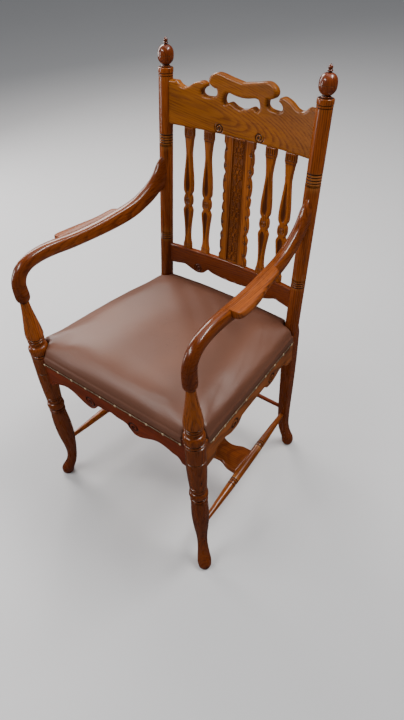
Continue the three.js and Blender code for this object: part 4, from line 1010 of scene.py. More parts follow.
def spiral(x, z, centre, radius, turns, deep, hand, oval=1.0):
    """A cut scroll: a groove that winds in to an eye."""
    dx, dz = (x - centre[0]) * hand / oval, z - centre[1]
    away = np.hypot(dx, dz)
    phase = away / radius * turns - np.arctan2(dz, dx) / math.tau
    wave = np.abs((phase + 0.5) % 1 - 0.5)
    cut = np.clip(1 - wave / 0.3, 0, 1) ** 0.7
    eye = np.clip(1 - away / (0.2 * radius), 0, 1)
    rim = np.clip((radius - away) / (0.1 * radius) + 0.5, 0, 1)
    return deep * np.maximum(cut * rim * (away > 0.1 * radius), eye)


def gouge(x, z, round_end, point, half_wide, deep=3.2 * MM):
    """A long hollow, round at one end and drawn to a point at the other."""
    share = (z - round_end) / (point - round_end)
    inside = np.clip(share, 0, 1)
    swell = np.sqrt(1 - (1 - inside / 0.2).clip(0) ** 2)
    wide = half_wide * swell * (1 - (inside - 0.2).clip(0) / 0.8) ** 0.8
    reach = np.clip(1 - (np.abs(x) / np.maximum(wide, 1e-6)) ** 2, 0, 1)
    return deep * reach * np.sqrt(np.clip(wide / half_wide, 0, 1)) * ((share > 0) & (share < 1))


def line_cut(value, at, half_wide=0.9 * MM, deep=1.2 * MM):
    """A cut where a value passes a level."""
    return deep * np.clip(1 - np.abs(value - at) / half_wide, 0, 1)


def bowed(piece, up):
    """Bends a board to the back's bow and sets it up on the back."""
    points = points_of(piece)
    points[:, 1] += bow(points[:, 0])
    points[:, 2] += up
    set_points(piece, points)
    return move(piece, BACK)


def crest_rail():
    high = sizes().crest_height
    lines = [outline(CREST, POST_SPREAD, high), outline(HAND_HOLE, POST_SPREAD, high)]
    piece = sawn("crest rail", lines, sizes().crest_thickness, round_over=6 * MM)

    def cuts(x, z, inset):
        return sum(spiral(x, z, (side * 58 * MM, 14 * MM), 13 * MM, 2.0, 2.2 * MM, side)
                   for side in (-1, 1)), 0 * x

    carve(piece, sizes().crest_thickness, cuts)
    return bowed(piece, CREST_FOOT)


def lower_back_rail():
    deep = sizes().lower_rail_depth
    line = outline(LOWER_RAIL, POST_SPREAD, deep)
    piece = sawn("lower back rail", [line], LOWER_RAIL_THICKNESS, round_over=2.5 * MM)

    def cuts(x, z, inset):
        scrolls = sum(spiral(x, z, (side * 107 * MM, 15 * MM), 13.5 * MM, 2.2, 2.2 * MM, side)
                      for side in (-1, 1))
        away = np.hypot(np.abs(x) - 107 * MM, z - 15 * MM)
        low = z < 45 * MM
        lines = np.maximum(line_cut(inset, 5 * MM), line_cut(inset, 9 * MM, 0.8 * MM, 0.8 * MM)) * low
        lines = np.maximum(lines, line_cut(z, deep - 7 * MM, 0.9 * MM, 0.9 * MM))
        return np.maximum(scrolls, lines * (away > 15 * MM) * (np.abs(x) < 190 * MM)), 0 * x

    def stain_and_shade(x, z, inset):
        return 0.4 + 0.3 * np.clip(1 - np.abs(z - 0.55 * deep) / (0.5 * deep), 0, 1)

    carve(piece, LOWER_RAIL_THICKNESS, cuts, stain_and_shade)
    return bowed(piece, LOWER_RAIL_TOP - deep)


def upright_length():
    """Length of the splat and the spindles between the two back rails."""
    return CREST_FOOT - LOWER_RAIL_TOP - 2 * FIT


def splat():
    """The carved splat: a panel of scrollwork between bead lines, plain strips and a scalloped edge."""
    tall = upright_length()
    half = sizes().splat_width / 2
    piece = sawn("splat", [outline(SPLAT, half, tall)], sizes().splat_thickness, round_over=2 * MM,
                 voxel=1.1 * MM)
    pitch = tall / 6

    def cuts(x, z, inset):
        reach = np.abs(x)
        panel = (reach < 15.5 * MM) & (z > 5 * MM) & (z < tall - 5 * MM)
        number = np.floor(z / pitch)
        local = (z / pitch - number - 0.5) * pitch * np.where(number % 2 == 0, 1.0, -1.0)
        # Raised scrollwork on a sunk ground, mirrored about the middle line.
        leaf = 1.9 * MM
        curl = np.hypot(reach - 8.2 * MM, local + 12 * MM)
        turned = np.arctan2(local + 12 * MM, reach - 8.2 * MM) / math.tau
        swirl = np.abs((curl / (3.7 * MM) - turned + 0.5) % 1 - 0.5)
        scroll = (swirl < 0.3) & (curl < 6.4 * MM)
        top_curl = np.hypot(reach - 6.8 * MM, local - 15 * MM)
        top_scroll = np.abs(top_curl - 4.2 * MM) < leaf / 2
        stem = np.abs(reach - np.abs(6 * MM * np.sin(local / pitch * math.tau))) < leaf * 0.55
        bud = np.hypot(reach * 1.5, local - 1 * MM) < 4.4 * MM
        vein = np.hypot(reach * 1.5, local - 1 * MM) < 1.7 * MM
        frond = np.abs(np.hypot(reach - 14.5 * MM, local - 2 * MM) - 6.2 * MM) < leaf / 2
        raised = (scroll | top_scroll | stem | (bud & ~vein) | frond) & (reach < 14 * MM)
        ground = np.where(panel & ~raised, 1.7 * MM, 0) + np.where(panel, 0.2 * MM, 0)
        beads = np.maximum(line_cut(reach, 17.2 * MM, 1 * MM, 1.7 * MM),
                           line_cut(reach, 21 * MM, 0.9 * MM, 1.4 * MM))
        volutes = 0
        for share in (0.1, 0.21, 0.33, 0.42, 0.58, 0.67, 0.78, 0.9):
            volutes = volutes + spiral(reach, z, (0.84 * half, share * tall), 5.6 * MM, 1.4, 1.9 * MM, 1)
        edge = line_cut(inset, 3.4 * MM, 0.9 * MM, 1.1 * MM) * (reach > 28 * MM)
        return np.maximum.reduce([beads, volutes, edge, ground * 0.3]), ground

    def stain_and_shade(x, z, inset):
        reach = np.abs(x)
        middle = np.clip((16.5 * MM - reach) / (1.5 * MM), 0, 1) * 0.25
        bead = np.clip(1 - np.abs(reach - 19 * MM) / (2 * MM), 0, 1) * 0.3
        top = np.clip((z - tall + 30 * MM) / (20 * MM), 0, 1) * 0.45
        rim = np.clip((8 * MM - inset) / (6 * MM), 0, 1) * (reach > 25 * MM) * 0.45
        return np.maximum.reduce([middle, bead, top, rim])

    carve(piece, sizes().splat_thickness, cuts, stain_and_shade)
    return bowed(piece, LOWER_RAIL_TOP + FIT)


def spindle():
    """A flat baluster with a carved button between two dark gouges."""
    tall = upright_length()
    half = sizes().spindle_width / 2
    thick = sizes().spindle_thickness
    piece = sawn("spindle", [outline(SPINDLE, half, tall)], thick, round_over=2.4 * MM, voxel=1.1 * MM)

    def cuts(x, z, inset):
        upper = gouge(x, z, 0.497 * tall, 0.8 * tall, 7.6 * MM)
        lower = gouge(x, z, 0.366 * tall, 0.11 * tall, 7.8 * MM)
        away = np.hypot(x, z - 0.428 * tall)
        button = np.maximum(line_cut(away, 7.4 * MM, 1 * MM, 1.6 * MM),
                            line_cut(away, 3.4 * MM, 0.9 * MM, 1.3 * MM))
        button = np.maximum(button, line_cut(away, 0, 1.2 * MM, 1.4 * MM))
        block = np.maximum(line_cut(z, 0.925 * tall, 0.9 * MM, 1.4 * MM),
                           line_cut(z, 0.945 * tall, 0.9 * MM, 1.2 * MM))
        notch = line_cut(np.abs((x + 3 * MM) % (6 * MM) - 3 * MM), 0, 1.1 * MM, 1.6 * MM)
        block = np.maximum(block, notch * (z > 0.95 * tall) * (z < 0.985 * tall))
        foot = np.maximum(line_cut(z, 0.045 * tall, 0.9 * MM, 1.2 * MM),
                          line_cut(z, 0.03 * tall, 0.8 * MM, 0.9 * MM))
        return np.maximum.reduce([button, block, foot]), np.maximum(upper, lower)

    def stain_and_shade(x, z, inset):
        top = np.clip((z - 0.9 * tall) / (0.03 * tall), 0, 1) * 0.6
        ball = np.clip(1 - np.hypot(x, z - 0.428 * tall) / (14 * MM), 0, 1) * 0.5
        # The gouges are stained dark: stain and painted shade.
        cut = gouge(x, z, 0.497 * tall, 0.8 * tall, 8 * MM, 1)
        cut = cut + gouge(x, z, 0.366 * tall, 0.11 * tall, 8.2 * MM, 1)
        foot = np.clip(1 - z / (0.06 * tall), 0, 1) * 0.3
        return np.maximum.reduce([top, ball, np.sqrt(np.clip(cut, 0, 1)) * 0.95, foot])

    return carve(piece, thick, cuts, stain_and_shade)


# Seat frame

# (share of the half length, share of the lobe's depth below the flats), the right half of a lower edge
FRONT_APRON = [
    [(0, -0.2), (0.03, -0.12), (0.07, 0)],
    [(0.07, 0), (0.16, 0.02), (0.2, 0.14), (0.235, 0.62), (0.285, 1), (0.35, 1), (0.42, 0.72), (0.5, 0.3),
     (0.57, 0.03), (0.64, 0), (0.7, 0.15), (0.76, 0.36), (0.81, 0.44), (0.84, 0.7), (0.86, 1.1)],
    [(0.86, 1.1), (0.96, 1.2)],
]
SIDE_APRON = [
    [(0, -0.23), (0.2, -0.2), (0.26, 0), (0.31, 0.8), (0.38, 1), (0.46, 0.95), (0.54, 0.5), (0.6, 0.05),
     (0.66, 0), (0.71, 0), (0.75, 0.3), (0.79, 1.5), (0.84, 1.85)],
    [(0.84, 1.85), (0.955, 1.9)],
]
SIDE_ANGLE = math.atan2(side_face(0) - side_face(LEG_DEPTH), LEG_DEPTH)
SIDE_RUN = LEG_DEPTH / math.cos(SIDE_ANGLE)


def apron(name, edge, reach, lobe, roundels):
    """A seat rail with a scrolled lower edge and oval scrolls cut in its lobes."""
    drop = sizes().rail_depth / lobe
    lower = [[(x, -y - drop) for x, y in run] for run in edge]
    corner = lower[-1][-1]
    runs = [*lower, [corner, (corner[0], 0)], [(corner[0], 0), (0, 0)]]
    thick = sizes().rail_thickness
    piece = sawn(name, [outline(runs, reach, lobe)], thick, round_over=3.5 * MM)

    def cuts(x, z, inset):
        found = [spiral(x, z, (side * at, low), 16 * MM, 1.7, 2.8 * MM, side, oval=1.15)
                 for at, low in roundels for side in (-1, 1)]
        away = np.minimum.reduce([np.hypot((np.abs(x) - at) / 1.15, z - low) for at, low in roundels])
        lines = line_cut(inset, 6.5 * MM, 1 * MM, 1 * MM)
        lines = lines * (z < -0.5 * sizes().rail_depth) * (away > 17.5 * MM)
        return np.maximum.reduce([*found, lines]), 0 * x

    def stain_and_shade(x, z, inset):
        return np.clip((z + 30 * MM) / (14 * MM), 0, 1) * 0.7

    return carve(piece, thick, cuts, stain_and_shade)


def on_rail_plane(piece):
    """Drops a piece made under z = 0 onto the sloping plane of the rail tops."""
    points = points_of(piece)
    points[:, 2] += rail_plane(points[:, 1])
    points[:, 1] += FRONT
    set_points(piece, points)
    return piece


def front_apron():
    piece = apron("front apron", FRONT_APRON, LEG_SPREAD, 25 * MM, [(75 * MM, -63 * MM)])
    return on_rail_plane(move(piece, Matrix.Translation((0, sizes().rail_thickness / 2 - RAIL_FACE, 0))))


def side_apron(side):
    piece = apron("side apron", SIDE_APRON, SIDE_RUN / 2, 13 * MM, [(97 * MM, -57 * MM)])
    middle = side_face(0) - sizes().rail_thickness / math.cos(SIDE_ANGLE) / 2
    # The carved face points outwards on both sides.
    turn = Matrix.Rotation(math.pi / 2 + SIDE_ANGLE, 4, "Z")
    move(piece, Matrix.Translation((middle, 0, 0)) @ turn @ Matrix.Translation((SIDE_RUN / 2, 0, 0)))
    if side < 0:
        move(piece, Matrix.Scale(-1, 4, (1, 0, 0)))
        closed(piece)
    return on_rail_plane(piece)


# Stretchers

# (place from the middle of a group of rings in steps of 6 mm, share of the stretcher's radius)
STRETCHER_RINGS = [(-1.9, 1), (-1.9, 1), (-1.55, 0.82), (-1.2, 1), (-1.2, 1), (-0.62, 1.02), (-0.62, 1.02),
                   (-0.3, 0.82), (0, 0.8), (0.3, 0.82), (0.62, 1.02), (0.62, 1.02), (1.2, 1), (1.2, 1),
                   (1.55, 0.82), (1.9, 0.98), (1.9, 0.98)]


def back_kick(height):
    """How far a back leg's axis lies outwards at a height."""
    return BACK_KICK * table([row[:2] for row in BACK_LEG], height / SEAT_LINE)


def leg_centre(side, back):
    """Where a side stretcher's axis meets the axis of a leg."""
    if back:
        foot = Vector((side * POST_SPREAD, FRONT + LEG_DEPTH, STRETCHER_HEIGHT))
        return foot + Vector((side, 1, 0)).normalized() * back_kick(STRETCHER_HEIGHT)
    foot = Vector((side * LEG_SPREAD, FRONT, STRETCHER_HEIGHT))
    kick = FRONT_KICK * table(FOOT_PATH, STRETCHER_HEIGHT / LOW_RING)
    return foot + Vector((side, -1, 0)).normalized() * kick


def side_stretcher(side):
    """A turned stretcher, fat in the middle with two pairs of grooves."""
    front, rear = leg_centre(side, False), leg_centre(side, True)
    way = (rear - front).normalized()
    front, rear = front + way * 8 * MM, rear - way * 5 * MM
    half = (rear - front).length / 2
    fat, thin = sizes().stretcher_radius, 6.4 * MM
    rings = 76 * MM  # the middle of a group of rings
    right = [(0, fat), (60 * MM, fat * 0.99)]
    right += [(rings + step * 6 * MM, share * fat * 0.97) for step, share in STRETCHER_RINGS]
    right += [(96 * MM, fat * 0.92), (rings + (half - rings) / 2, (fat + thin) / 2)]
    right += [(half - 12 * MM, thin + 0.4 * MM), (half, thin), (half, thin), (half, 0)]
    left = [(-z, r) for z, r in right[:0:-1]]
    piece = spun("side stretcher", smooth(left + right, 3), 28)
    turn = way.to_track_quat("Z", "Y").to_matrix().to_4x4()
    return move(piece, Matrix.Translation((front + rear) / 2) @ turn)


def back_stretcher():
    half = leg_centre(1, True).x - 8 * MM
    right = [(0, 6.8), (half / MM - 26, 6.1), (half / MM - 8, 5.6), (half / MM, 5.5), (half / MM, 5.5),
             (half / MM, 0)]
    profile = [(-z, r) for z, r in right[:0:-1]] + right
    piece = spun("back stretcher", smooth(profile, 4) * MM, 24)
    kick = back_kick(BACK_STRETCHER_HEIGHT) / math.sqrt(2)
    place = Matrix.Translation((0, FRONT + LEG_DEPTH + kick, BACK_STRETCHER_HEIGHT))
    return move(piece, place @ Matrix.Rotation(math.pi / 2, 4, "Y"))


# (share of the half length, share of the half width), the flat stretcher's edge
CROSS = [(0, 0.84), (0.15, 0.9), (0.36, 1), (0.52, 0.99), (0.58, 0.87), (0.64, 0.76), (0.71, 0.71),
         (0.77, 0.76), (0.83, 0.9), (0.88, 0.97), (1, 1)]


def cross_stretcher():
    """The flat board between the side stretchers, with its shaped edges."""
    middle = (leg_centre(1, False) + leg_centre(1, True)) / 2
    reach = middle.x - sizes().stretcher_radius * 0.55
    upper = [CROSS, [(1, 1), (1, 0)]]
    lower = [[(x, -y) for x, y in run[::-1]] for run in upper[::-1]]
    line = outline([*upper, *lower], reach, sizes().board_width / 2)
    piece = sawn("cross stretcher", [line], sizes().board_thickness, round_over=4 * MM)

    def cuts(x, z, inset):
        scrolls = [spiral(x, z, (side * 118 * MM, up * 26 * MM), 11 * MM, 1.9, 1.8 * MM, side * up)
                   for side in (-1, 1) for up in (-1, 1)]
        away = np.hypot(np.abs(x) - 118 * MM, np.abs(z) - 26 * MM)
        return np.maximum.reduce([*scrolls,
                                  line_cut(inset, 7 * MM, 0.9 * MM, 0.9 * MM) * (away > 12 * MM)]), 0 * x

    def stain_and_shade(x, z, inset):
        # The whole board is stained darker: stain and painted shadow from the seat above it.
        veins = np.abs((x / (34 * MM) + 0.35 * np.cos(z / (13 * MM))) % 1 - 0.5) < 0.16
        return 0.6 + 0.35 * veins * (np.abs(x) > 60 * MM) * np.clip((inset - 8 * MM) / (4 * MM), 0, 1)

    carve(piece, sizes().board_thickness, cuts, stain_and_shade)
    lie = Matrix.Rotation(-math.pi / 2, 4, "X")
    return move(piece, Matrix.Translation((0, middle.y, middle.z)) @ lie)


# Seat


def fall(share, fullness):
    """A dome's height at shares of its half width: flat in the middle, and falling to nothing at 1."""
    return np.clip(1 - np.abs(share) ** 2.6, 0, 1) ** (1 / fullness)


def dome_height(across, deep, back, crown):
    """Rise of the seat's top at shares from -1 to 1 across and deep, and at a distance behind the front."""
    front = (1 - (1 - np.clip(back / (62 * MM), 0, 1)) ** 2.5) ** 0.45
    fullness = 3.8 + 0.9 * np.exp(-((back / (75 * MM)) ** 2))
    return crown * fall(across, fullness) * np.where(deep < 0, front, fall(deep, 9))


def seat_blank():
    """The cushion's form before it is stuffed: a domed top, and a skirt hanging outside the rails."""
    grow = 1.2 * MM  # from the rails' faces to the skirt
    crown = sizes().crown - 3 * MM  # which the stuffing brings to its full height
    start()
    bpy.ops.mesh.primitive_cube_add(size=2)
    bpy.ops.object.mode_set(mode="EDIT")
    bpy.ops.mesh.select_all(action="SELECT")
    bpy.ops.mesh.subdivide(number_cuts=31)
    bpy.ops.object.mode_set(mode="OBJECT")
    piece = bpy.context.object
    piece.name = "seat cushion"
    points = points_of(piece)
    across, deep = (np.sin(math.pi / 2 * points[:, i]) for i in (0, 1))
    up = (points[:, 2] + 1) / 2
    hem = -HEM_DROP
    edge = 8 * MM + 4 * MM * (1 - deep**2) * np.abs(across) ** 4
    level = hem + (edge - hem) * up
    lean = 5 * MM * np.clip(level / (10 * MM), 0, 1) ** 2 * (1 - 0.9 * (1 - deep**2))
    front, rear = -RAIL_FACE - grow + lean, REAR_FACE + grow - lean
    y = front + (rear - front) * (deep + 1) / 2
    x = across * (side_face(y) + grow - lean)
    level = np.where(up > 0.999, level + dome_height(across, deep, y - front, crown), level)
    # Inside the skirt the bottom lies on the hessian.
    inner = (np.abs(x) < side_face(y) - 6 * MM) & (y > -RAIL_FACE + 6 * MM) & (y < LEG_DEPTH + 5 * MM)
    level = np.where((up < 0.001) & inner, 3.8 * MM, level)
    set_points(piece, np.column_stack([x, y + FRONT, level + rail_plane(y)]))
    return piece


def clear_of_legs(points, gap):
    """Pushes points out of the front legs and the back posts."""
    points = points.copy()
    post = 18 * MM + gap  # half width of the square that clears a back post
    for side in (-1, 1):
        away = points[:, :2] - (side * LEG_SPREAD, FRONT)
        reach = np.maximum(np.hypot(*away.T), 1e-6)
        radius = 25.2 * MM + gap
        near = reach < radius
        points[near, :2] += (away / reach[:, None] * (radius - reach)[:, None])[near]
        corner = np.column_stack([points[:, 0] * side - (POST_SPREAD - post),
                                  points[:, 1] - (FRONT + LEG_DEPTH - post)])
        inside = (corner > 0).all(1)
        through_x = inside & (corner[:, 0] < corner[:, 1])
        points[through_x, 0] -= side * corner[through_x, 0]
        points[inside & ~through_x, 1] -= corner[inside & ~through_x, 1]
    return points


def cutter(kind, place, size):
    """A cylinder or a box that cuts the cushion."""
    start()
    if kind == "leg":
        bpy.ops.mesh.primitive_cylinder_add(vertices=48, radius=size[0], depth=size[2], location=place)
    else:
        bpy.ops.mesh.primitive_cube_add(size=1, location=place, scale=size)
    bpy.ops.object.transform_apply(location=True, rotation=True, scale=True)
    return bpy.context.object


def seat_cushion():
    """The leather seat, stuffed by simulation, then eased round the legs and posts."""
    piece = seat_blank()
    # Notches round the front legs, before them and round the back posts.
    tools = []
    for side in (-1, 1):
        tools.append(cutter("leg", (side * LEG_SPREAD, FRONT, 0.5), (27 * MM, 0, 0.4)))
        tools.append(cutter("box", (side * (LEG_SPREAD + 33 * MM), FRONT - 30 * MM, 0.5),
                            (66 * MM, 60 * MM, 0.4)))
        tools.append(cutter("box", (side * (POST_SPREAD + 18.5 * MM), FRONT + LEG_DEPTH + 18.5 * MM, 0.5),
                            (76 * MM, 76 * MM, 0.4)))
    for tool in tools:
        apply(piece, "BOOLEAN", operation="DIFFERENCE", object=tool, solver="EXACT")
        bpy.data.objects.remove(tool)
    apply(piece, "REMESH", mode="VOXEL", voxel_size=5.6 * MM, adaptivity=0)
    apply(piece, "SMOOTH", factor=0.5, iterations=4)
    # The roll along each side is rounder than the front's.
    points = points_of(piece)
    back = points[:, 1] - FRONT
    roll = np.exp(-(((points[:, 2] - rail_plane(back)) / MM - 13) / 9) ** 2)
    roll *= np.abs(points[:, 0]) > side_face(back) - 25 * MM
    roll *= (back > 30 * MM) & (back < LEG_DEPTH - 30 * MM)
    rounder = piece.vertex_groups.new(name="roll")
    for i in np.flatnonzero(roll > 0.05):
        rounder.add([int(i)], float(roll[i]), "REPLACE")
    apply(piece, "SMOOTH", factor=0.5, iterations=16, vertex_group="roll")
    before = points_of(piece)
    plane = before[:, 2] - rail_plane(before[:, 1] - FRONT)
    held = piece.vertex_groups.new(name="held")
    for i in np.flatnonzero(plane < 5 * MM):
        held.add([int(i)], 1.0, "REPLACE")
    pick(piece)
    cloth = piece.modifiers.new("Cloth", "CLOTH")
    cloth.settings.vertex_group_mass = "held"
    cloth.settings.use_pressure = True
    cloth.settings.uniform_pressure_force = 4
    cloth.settings.effector_weights.gravity = 0
    cloth.settings.tension_stiffness = 12
    cloth.settings.compression_stiffness = 12
    cloth.settings.bending_stiffness = 30
    scene = bpy.context.scene
    for step in range(1, 21):
        scene.frame_set(step)
    bpy.ops.object.modifier_apply(modifier=cloth.name)
    scene.frame_set(1)
    after = points_of(piece)
    shift = after - before
    size = np.maximum(np.linalg.norm(shift, axis=1), 1e-9)
    after = before + shift * (np.minimum(size, 9 * MM) / size)[:, None]
    # The stuffing swells smoothly from the nailed edge, so the fine folds are averaged out.
    rise = np.clip((plane - 4 * MM) / (26 * MM), 0, 1)[:, None]
    set_points(piece, before + evened(piece, (after - before) * rise, 45))
    apply(piece, "SUBSURF", levels=1, render_levels=1)
    ease_leather(piece)
    return piece


def ease_leather(piece):
    """Soft dips and drawn folds: a sat-in middle, pulls at the legs and posts and along the nails."""
    points = points_of(piece)
    y = points[:, 1] - FRONT
    plane = points[:, 2] - rail_plane(y)
    top = np.clip((plane - 6 * MM) / (14 * MM), 0, 1)
    sat = np.exp(-((points[:, 0] / 0.15) ** 2 + ((y - 0.25) / 0.15) ** 2))
    points[:, 2] -= top * sat * 1.5 * MM
    for side in (-1, 1):
        for centre, spread, ways in (((side * LEG_SPREAD, 0), 60 * MM, 7),
                                     ((side * POST_SPREAD, LEG_DEPTH), 45 * MM, 6)):
            dx, dy = points[:, 0] - centre[0], y - centre[1]
            away = np.hypot(dx, dy)
            fold = np.cos(np.arctan2(dy, dx) * ways * 2 + side)
            fold *= np.exp(-(away - 25 * MM).clip(0) / (spread / 3))
            points[:, 2] += top * fold * 0.35 * MM
    skirt = np.clip((8 * MM - plane) / (6 * MM), 0, 1)
    along = np.where(np.abs(points[:, 0]) > side_face(y) - 8 * MM, y, points[:, 0])
    pull = np.cos(along / sizes().nail_pitch * math.tau) * 0.35 * MM
    pull *= np.exp(-((plane + 4 * MM) / (9 * MM)) ** 2)
    outward = np.where(np.abs(points[:, 0]) > side_face(y) - 8 * MM, 1, 0)
    points[:, 0] -= np.sign(points[:, 0]) * outward * pull * skirt
    # Down to the nails the hem lies outside the rails.
    hem = (plane > -14 * MM) & (plane < 6 * MM)
    wide = side_face(y) + 0.9 * MM
    sides = hem & (np.abs(points[:, 0]) > wide - 4 * MM)
    points[sides, 0] = (np.sign(points[:, 0]) * np.maximum(np.abs(points[:, 0]), wide))[sides]
    for way, face in ((-1, RAIL_FACE), (1, REAR_FACE)):
        end = hem & (way * y > face - 3 * MM)
        points[end, 1] = FRONT + way * np.maximum(way * y, face + 0.9 * MM)[end]
    set_points(piece, clear_of_legs(points, 0.4 * MM))


def seat_strap(centre, reach, across, lift):
    """A webbing strap that passes over and under the ones it crosses."""
    start()
    bpy.ops.mesh.primitive_grid_add(x_subdivisions=100, y_subdivisions=10, size=2)
    piece = bpy.context.object
    piece.name = "strap"
    points = points_of(piece)
    run, side = points[:, 0] * reach, points[:, 1] * STRAP_WIDTH / 2
    x, y = (run, centre + side) if across else (centre + side, (LEG_DEPTH - 0.5 * MM) / 2 + run)
    wave = np.cos(run / STRAP_PITCH * math.pi) * 0.7 * MM * lift
    wave = np.where(np.abs(points[:, 0]) < 0.9, wave, 0) * (1 - np.abs(points[:, 0]) ** 8)
    z = rail_plane(y) + 1.1 * MM + wave
    set_points(piece, np.column_stack([x, y + FRONT, z]))
    mark(piece, "inset", np.abs(points[:, 1]))
    return apply(piece, "SOLIDIFY", thickness=STRAP_THICKNESS, offset=0)


def hessian_sheet():
    """The cloth between the webbing and the stuffing."""
    start()
    bpy.ops.mesh.primitive_grid_add(x_subdivisions=60, y_subdivisions=60, size=2)
    piece = bpy.context.object
    piece.name = "hessian"
    points = points_of(piece)
    front, rear = -RAIL_FACE + HESSIAN_INSET, REAR_FACE - HESSIAN_INSET
    y = front + (rear - front) * (points[:, 1] + 1) / 2
    x = points[:, 0] * (side_face(y) - HESSIAN_INSET)
    sag = 0.25 * MM * np.sin(x * 70) * np.cos(y * 66)
    set_points(piece, np.column_stack([x, y + FRONT, rail_plane(y) + 2.9 * MM + sag]))
    return apply(piece, "SOLIDIFY", thickness=0.5 * MM, offset=0)


def welt(name, first, last, turn_out):
    """A welt strip with its domed nails between two points; turn_out points away from the seat."""
    run = last - first
    way = run.normalized()
    start()
    bpy.ops.mesh.primitive_cube_add(size=1, scale=(run.length, 3.2 * MM, 1.3 * MM))
    bpy.ops.object.transform_apply(location=False, rotation=False, scale=True)
    strip = bpy.context.object
    bpy.ops.object.mode_set(mode="EDIT")
    bpy.ops.mesh.select_all(action="SELECT")
    bpy.ops.mesh.bevel(offset=0.55 * MM, segments=3, affect="EDGES")
    bpy.ops.object.mode_set(mode="OBJECT")
    mark(strip, "hollow", np.full(len(strip.data.vertices), 0.88))
    parts = [strip]
    radius = sizes().nail_radius
    nail = spun("nail",
                smooth([(-0.6 * MM, 0), (-0.6 * MM, 0), (-0.6 * MM, radius * 0.9), (-0.6 * MM, radius * 0.9),
                        (0.1 * MM, radius), (0.5 * MM, radius * 0.97), (1.2 * MM, radius * 0.72),
                        (1.55 * MM, radius * 0.35), (1.62 * MM, 0)], 3), 16)
    count = int(run.length / sizes().nail_pitch) + 1
    for i in range(count):
        at = (i - (count - 1) / 2) * sizes().nail_pitch
        parts.append(move(twin(nail, "nail"), Matrix.Translation((at, 0, 0.5 * MM))))
    bpy.data.objects.remove(nail)
    piece = join(name, parts)
    axes = Matrix((way, turn_out.cross(way), turn_out)).transposed()
    place = (first + last) / 2 + turn_out * 0.65 * MM
    return move(piece, Matrix.Translation(place) @ axes.to_4x4())


# Operators


class Maker:
    """What all the operators share"""
    bl_options = {"REGISTER", "UNDO"}


class CHAIR_OT_front_legs(Maker, bpy.types.Operator):
    """Turn the two front legs"""
    bl_idname = "chair.front_legs"
    bl_label = "Front legs"

    def execute(self, context):
        finish = stained_oak("Front leg oak", 0.35, pith=(0.012, 0.03, 0), lean=(0.02, 0.05, 0),
                             pitch=4.2 * MM, bare=0.5, gloss=0.24)
        for hand, side in HANDS:
            piece = front_leg(side)
            piece.name = f"turned_front_leg_{hand}"
            dark = [(0, 0.95), (0.28, 0.85), (0.33, 0.75), (0.48, 0.75), (0.5, 0.6), (0.548, 0.5), (0.552, 0),
                    (0.7, 0.05)]
            mark(piece, "stain_and_shade", table(dark, points_of(piece)[:, 2]))
            dress(piece, finish, [f"front_leg_{hand}"])
        return {"FINISHED"}


class CHAIR_OT_back_legs(Maker, bpy.types.Operator):
    """Shape the two back legs with their posts"""
    bl_idname = "chair.back_legs"
    bl_label = "Back legs"

    def execute(self, context):
        finish = stained_oak("Post oak", 0.5, pith=(0.05, 0.09, 0), lean=(0.118, 0.03, 0), pitch=4.6 * MM,
                             gloss=0.24, coat=0.5)
        for hand, side in HANDS:
            piece = back_leg(side)
            piece.name = f"ringed_back_leg_{hand}"
            height = points_of(piece)[:, 2]
            mark(piece, "stain_and_shade", np.clip((0.72 - height) / 0.3, 0, 1) * 0.75)
            dress(piece, finish, [f"back_leg_{hand}"])
        return {"FINISHED"}


class CHAIR_OT_finials(Maker, bpy.types.Operator):
    """Turn the ball finials on the posts"""
    bl_idname = "chair.finials"
    bl_label = "Finials"

    def execute(self, context):
        finish = stained_oak("Finial oak", 0.75, pith=(0.2, 0.03, 0), pitch=3.4 * MM, gloss=0.3, bare=0.3)
        for hand, side in HANDS:
            piece = spun(f"ball_finial_{hand}", smooth(FINIAL, 4) * MM)
            height = points_of(piece)[:, 2]
            mark(piece, "stain_and_shade", np.where(height > 47 * MM, 0.8, 0.25))
            move(piece, BACK @ Matrix.Translation((side * POST_SPREAD, 0, POST_TOP)))
            dress(piece, finish, [f"finial_{hand}"])
        return {"FINISHED"}


class CHAIR_OT_arms(Maker, bpy.types.Operator):
    """Shape the arms, their pads and the plugs over their screws"""
    bl_idname = "chair.arms"
    bl_label = "Arms"

    def execute(self, context):
        grain = {"along": "y", "pith": (0.02, 0.72, 0), "lean": (0.05, 0.03, 0), "pitch": 4.4 * MM,
                 "pores": 1.0, "bare": 0.8}
        finish = stained_oak("Arm oak", 0.4, gloss=0.26, coat=0.55, **grain)
        pad_finish = stained_oak("Pad oak", 0.4, gloss=0.42, coat=0.15, **grain)
        plug_finish = stained_oak("Plug oak", 1.0, along="y", pitch=2.5 * MM)
        for hand, side in HANDS:
            dress(arm(side), finish, [f"arm_{hand}"], angle=60).name = f"swept_arm_{hand}"
            dress(arm_pad(side), pad_finish, [f"arm_pad_{hand}"], angle=50).name = f"shaped_pad_{hand}"
            low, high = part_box(f"arm_plug_{hand}")
            middle = (low + high) / 2
            plug = spun(f"round_plug_{hand}", smooth([
                (-3.4 * MM, 0), (-3.4 * MM, 0), (-3.4 * MM, 5.1 * MM), (-3.4 * MM, 5.1 * MM),
                (2.7 * MM, 5.1 * MM), (3.1 * MM, 4.6 * MM), (3.3 * MM, 3 * MM), (3.4 * MM, 0)], 3), 24)
            move(plug, Matrix.Translation(middle) @ Matrix.Rotation(-math.pi / 2 - RAKE, 4, "X"))
            dress(plug, plug_finish, [f"arm_plug_{hand}"])
        return {"FINISHED"}


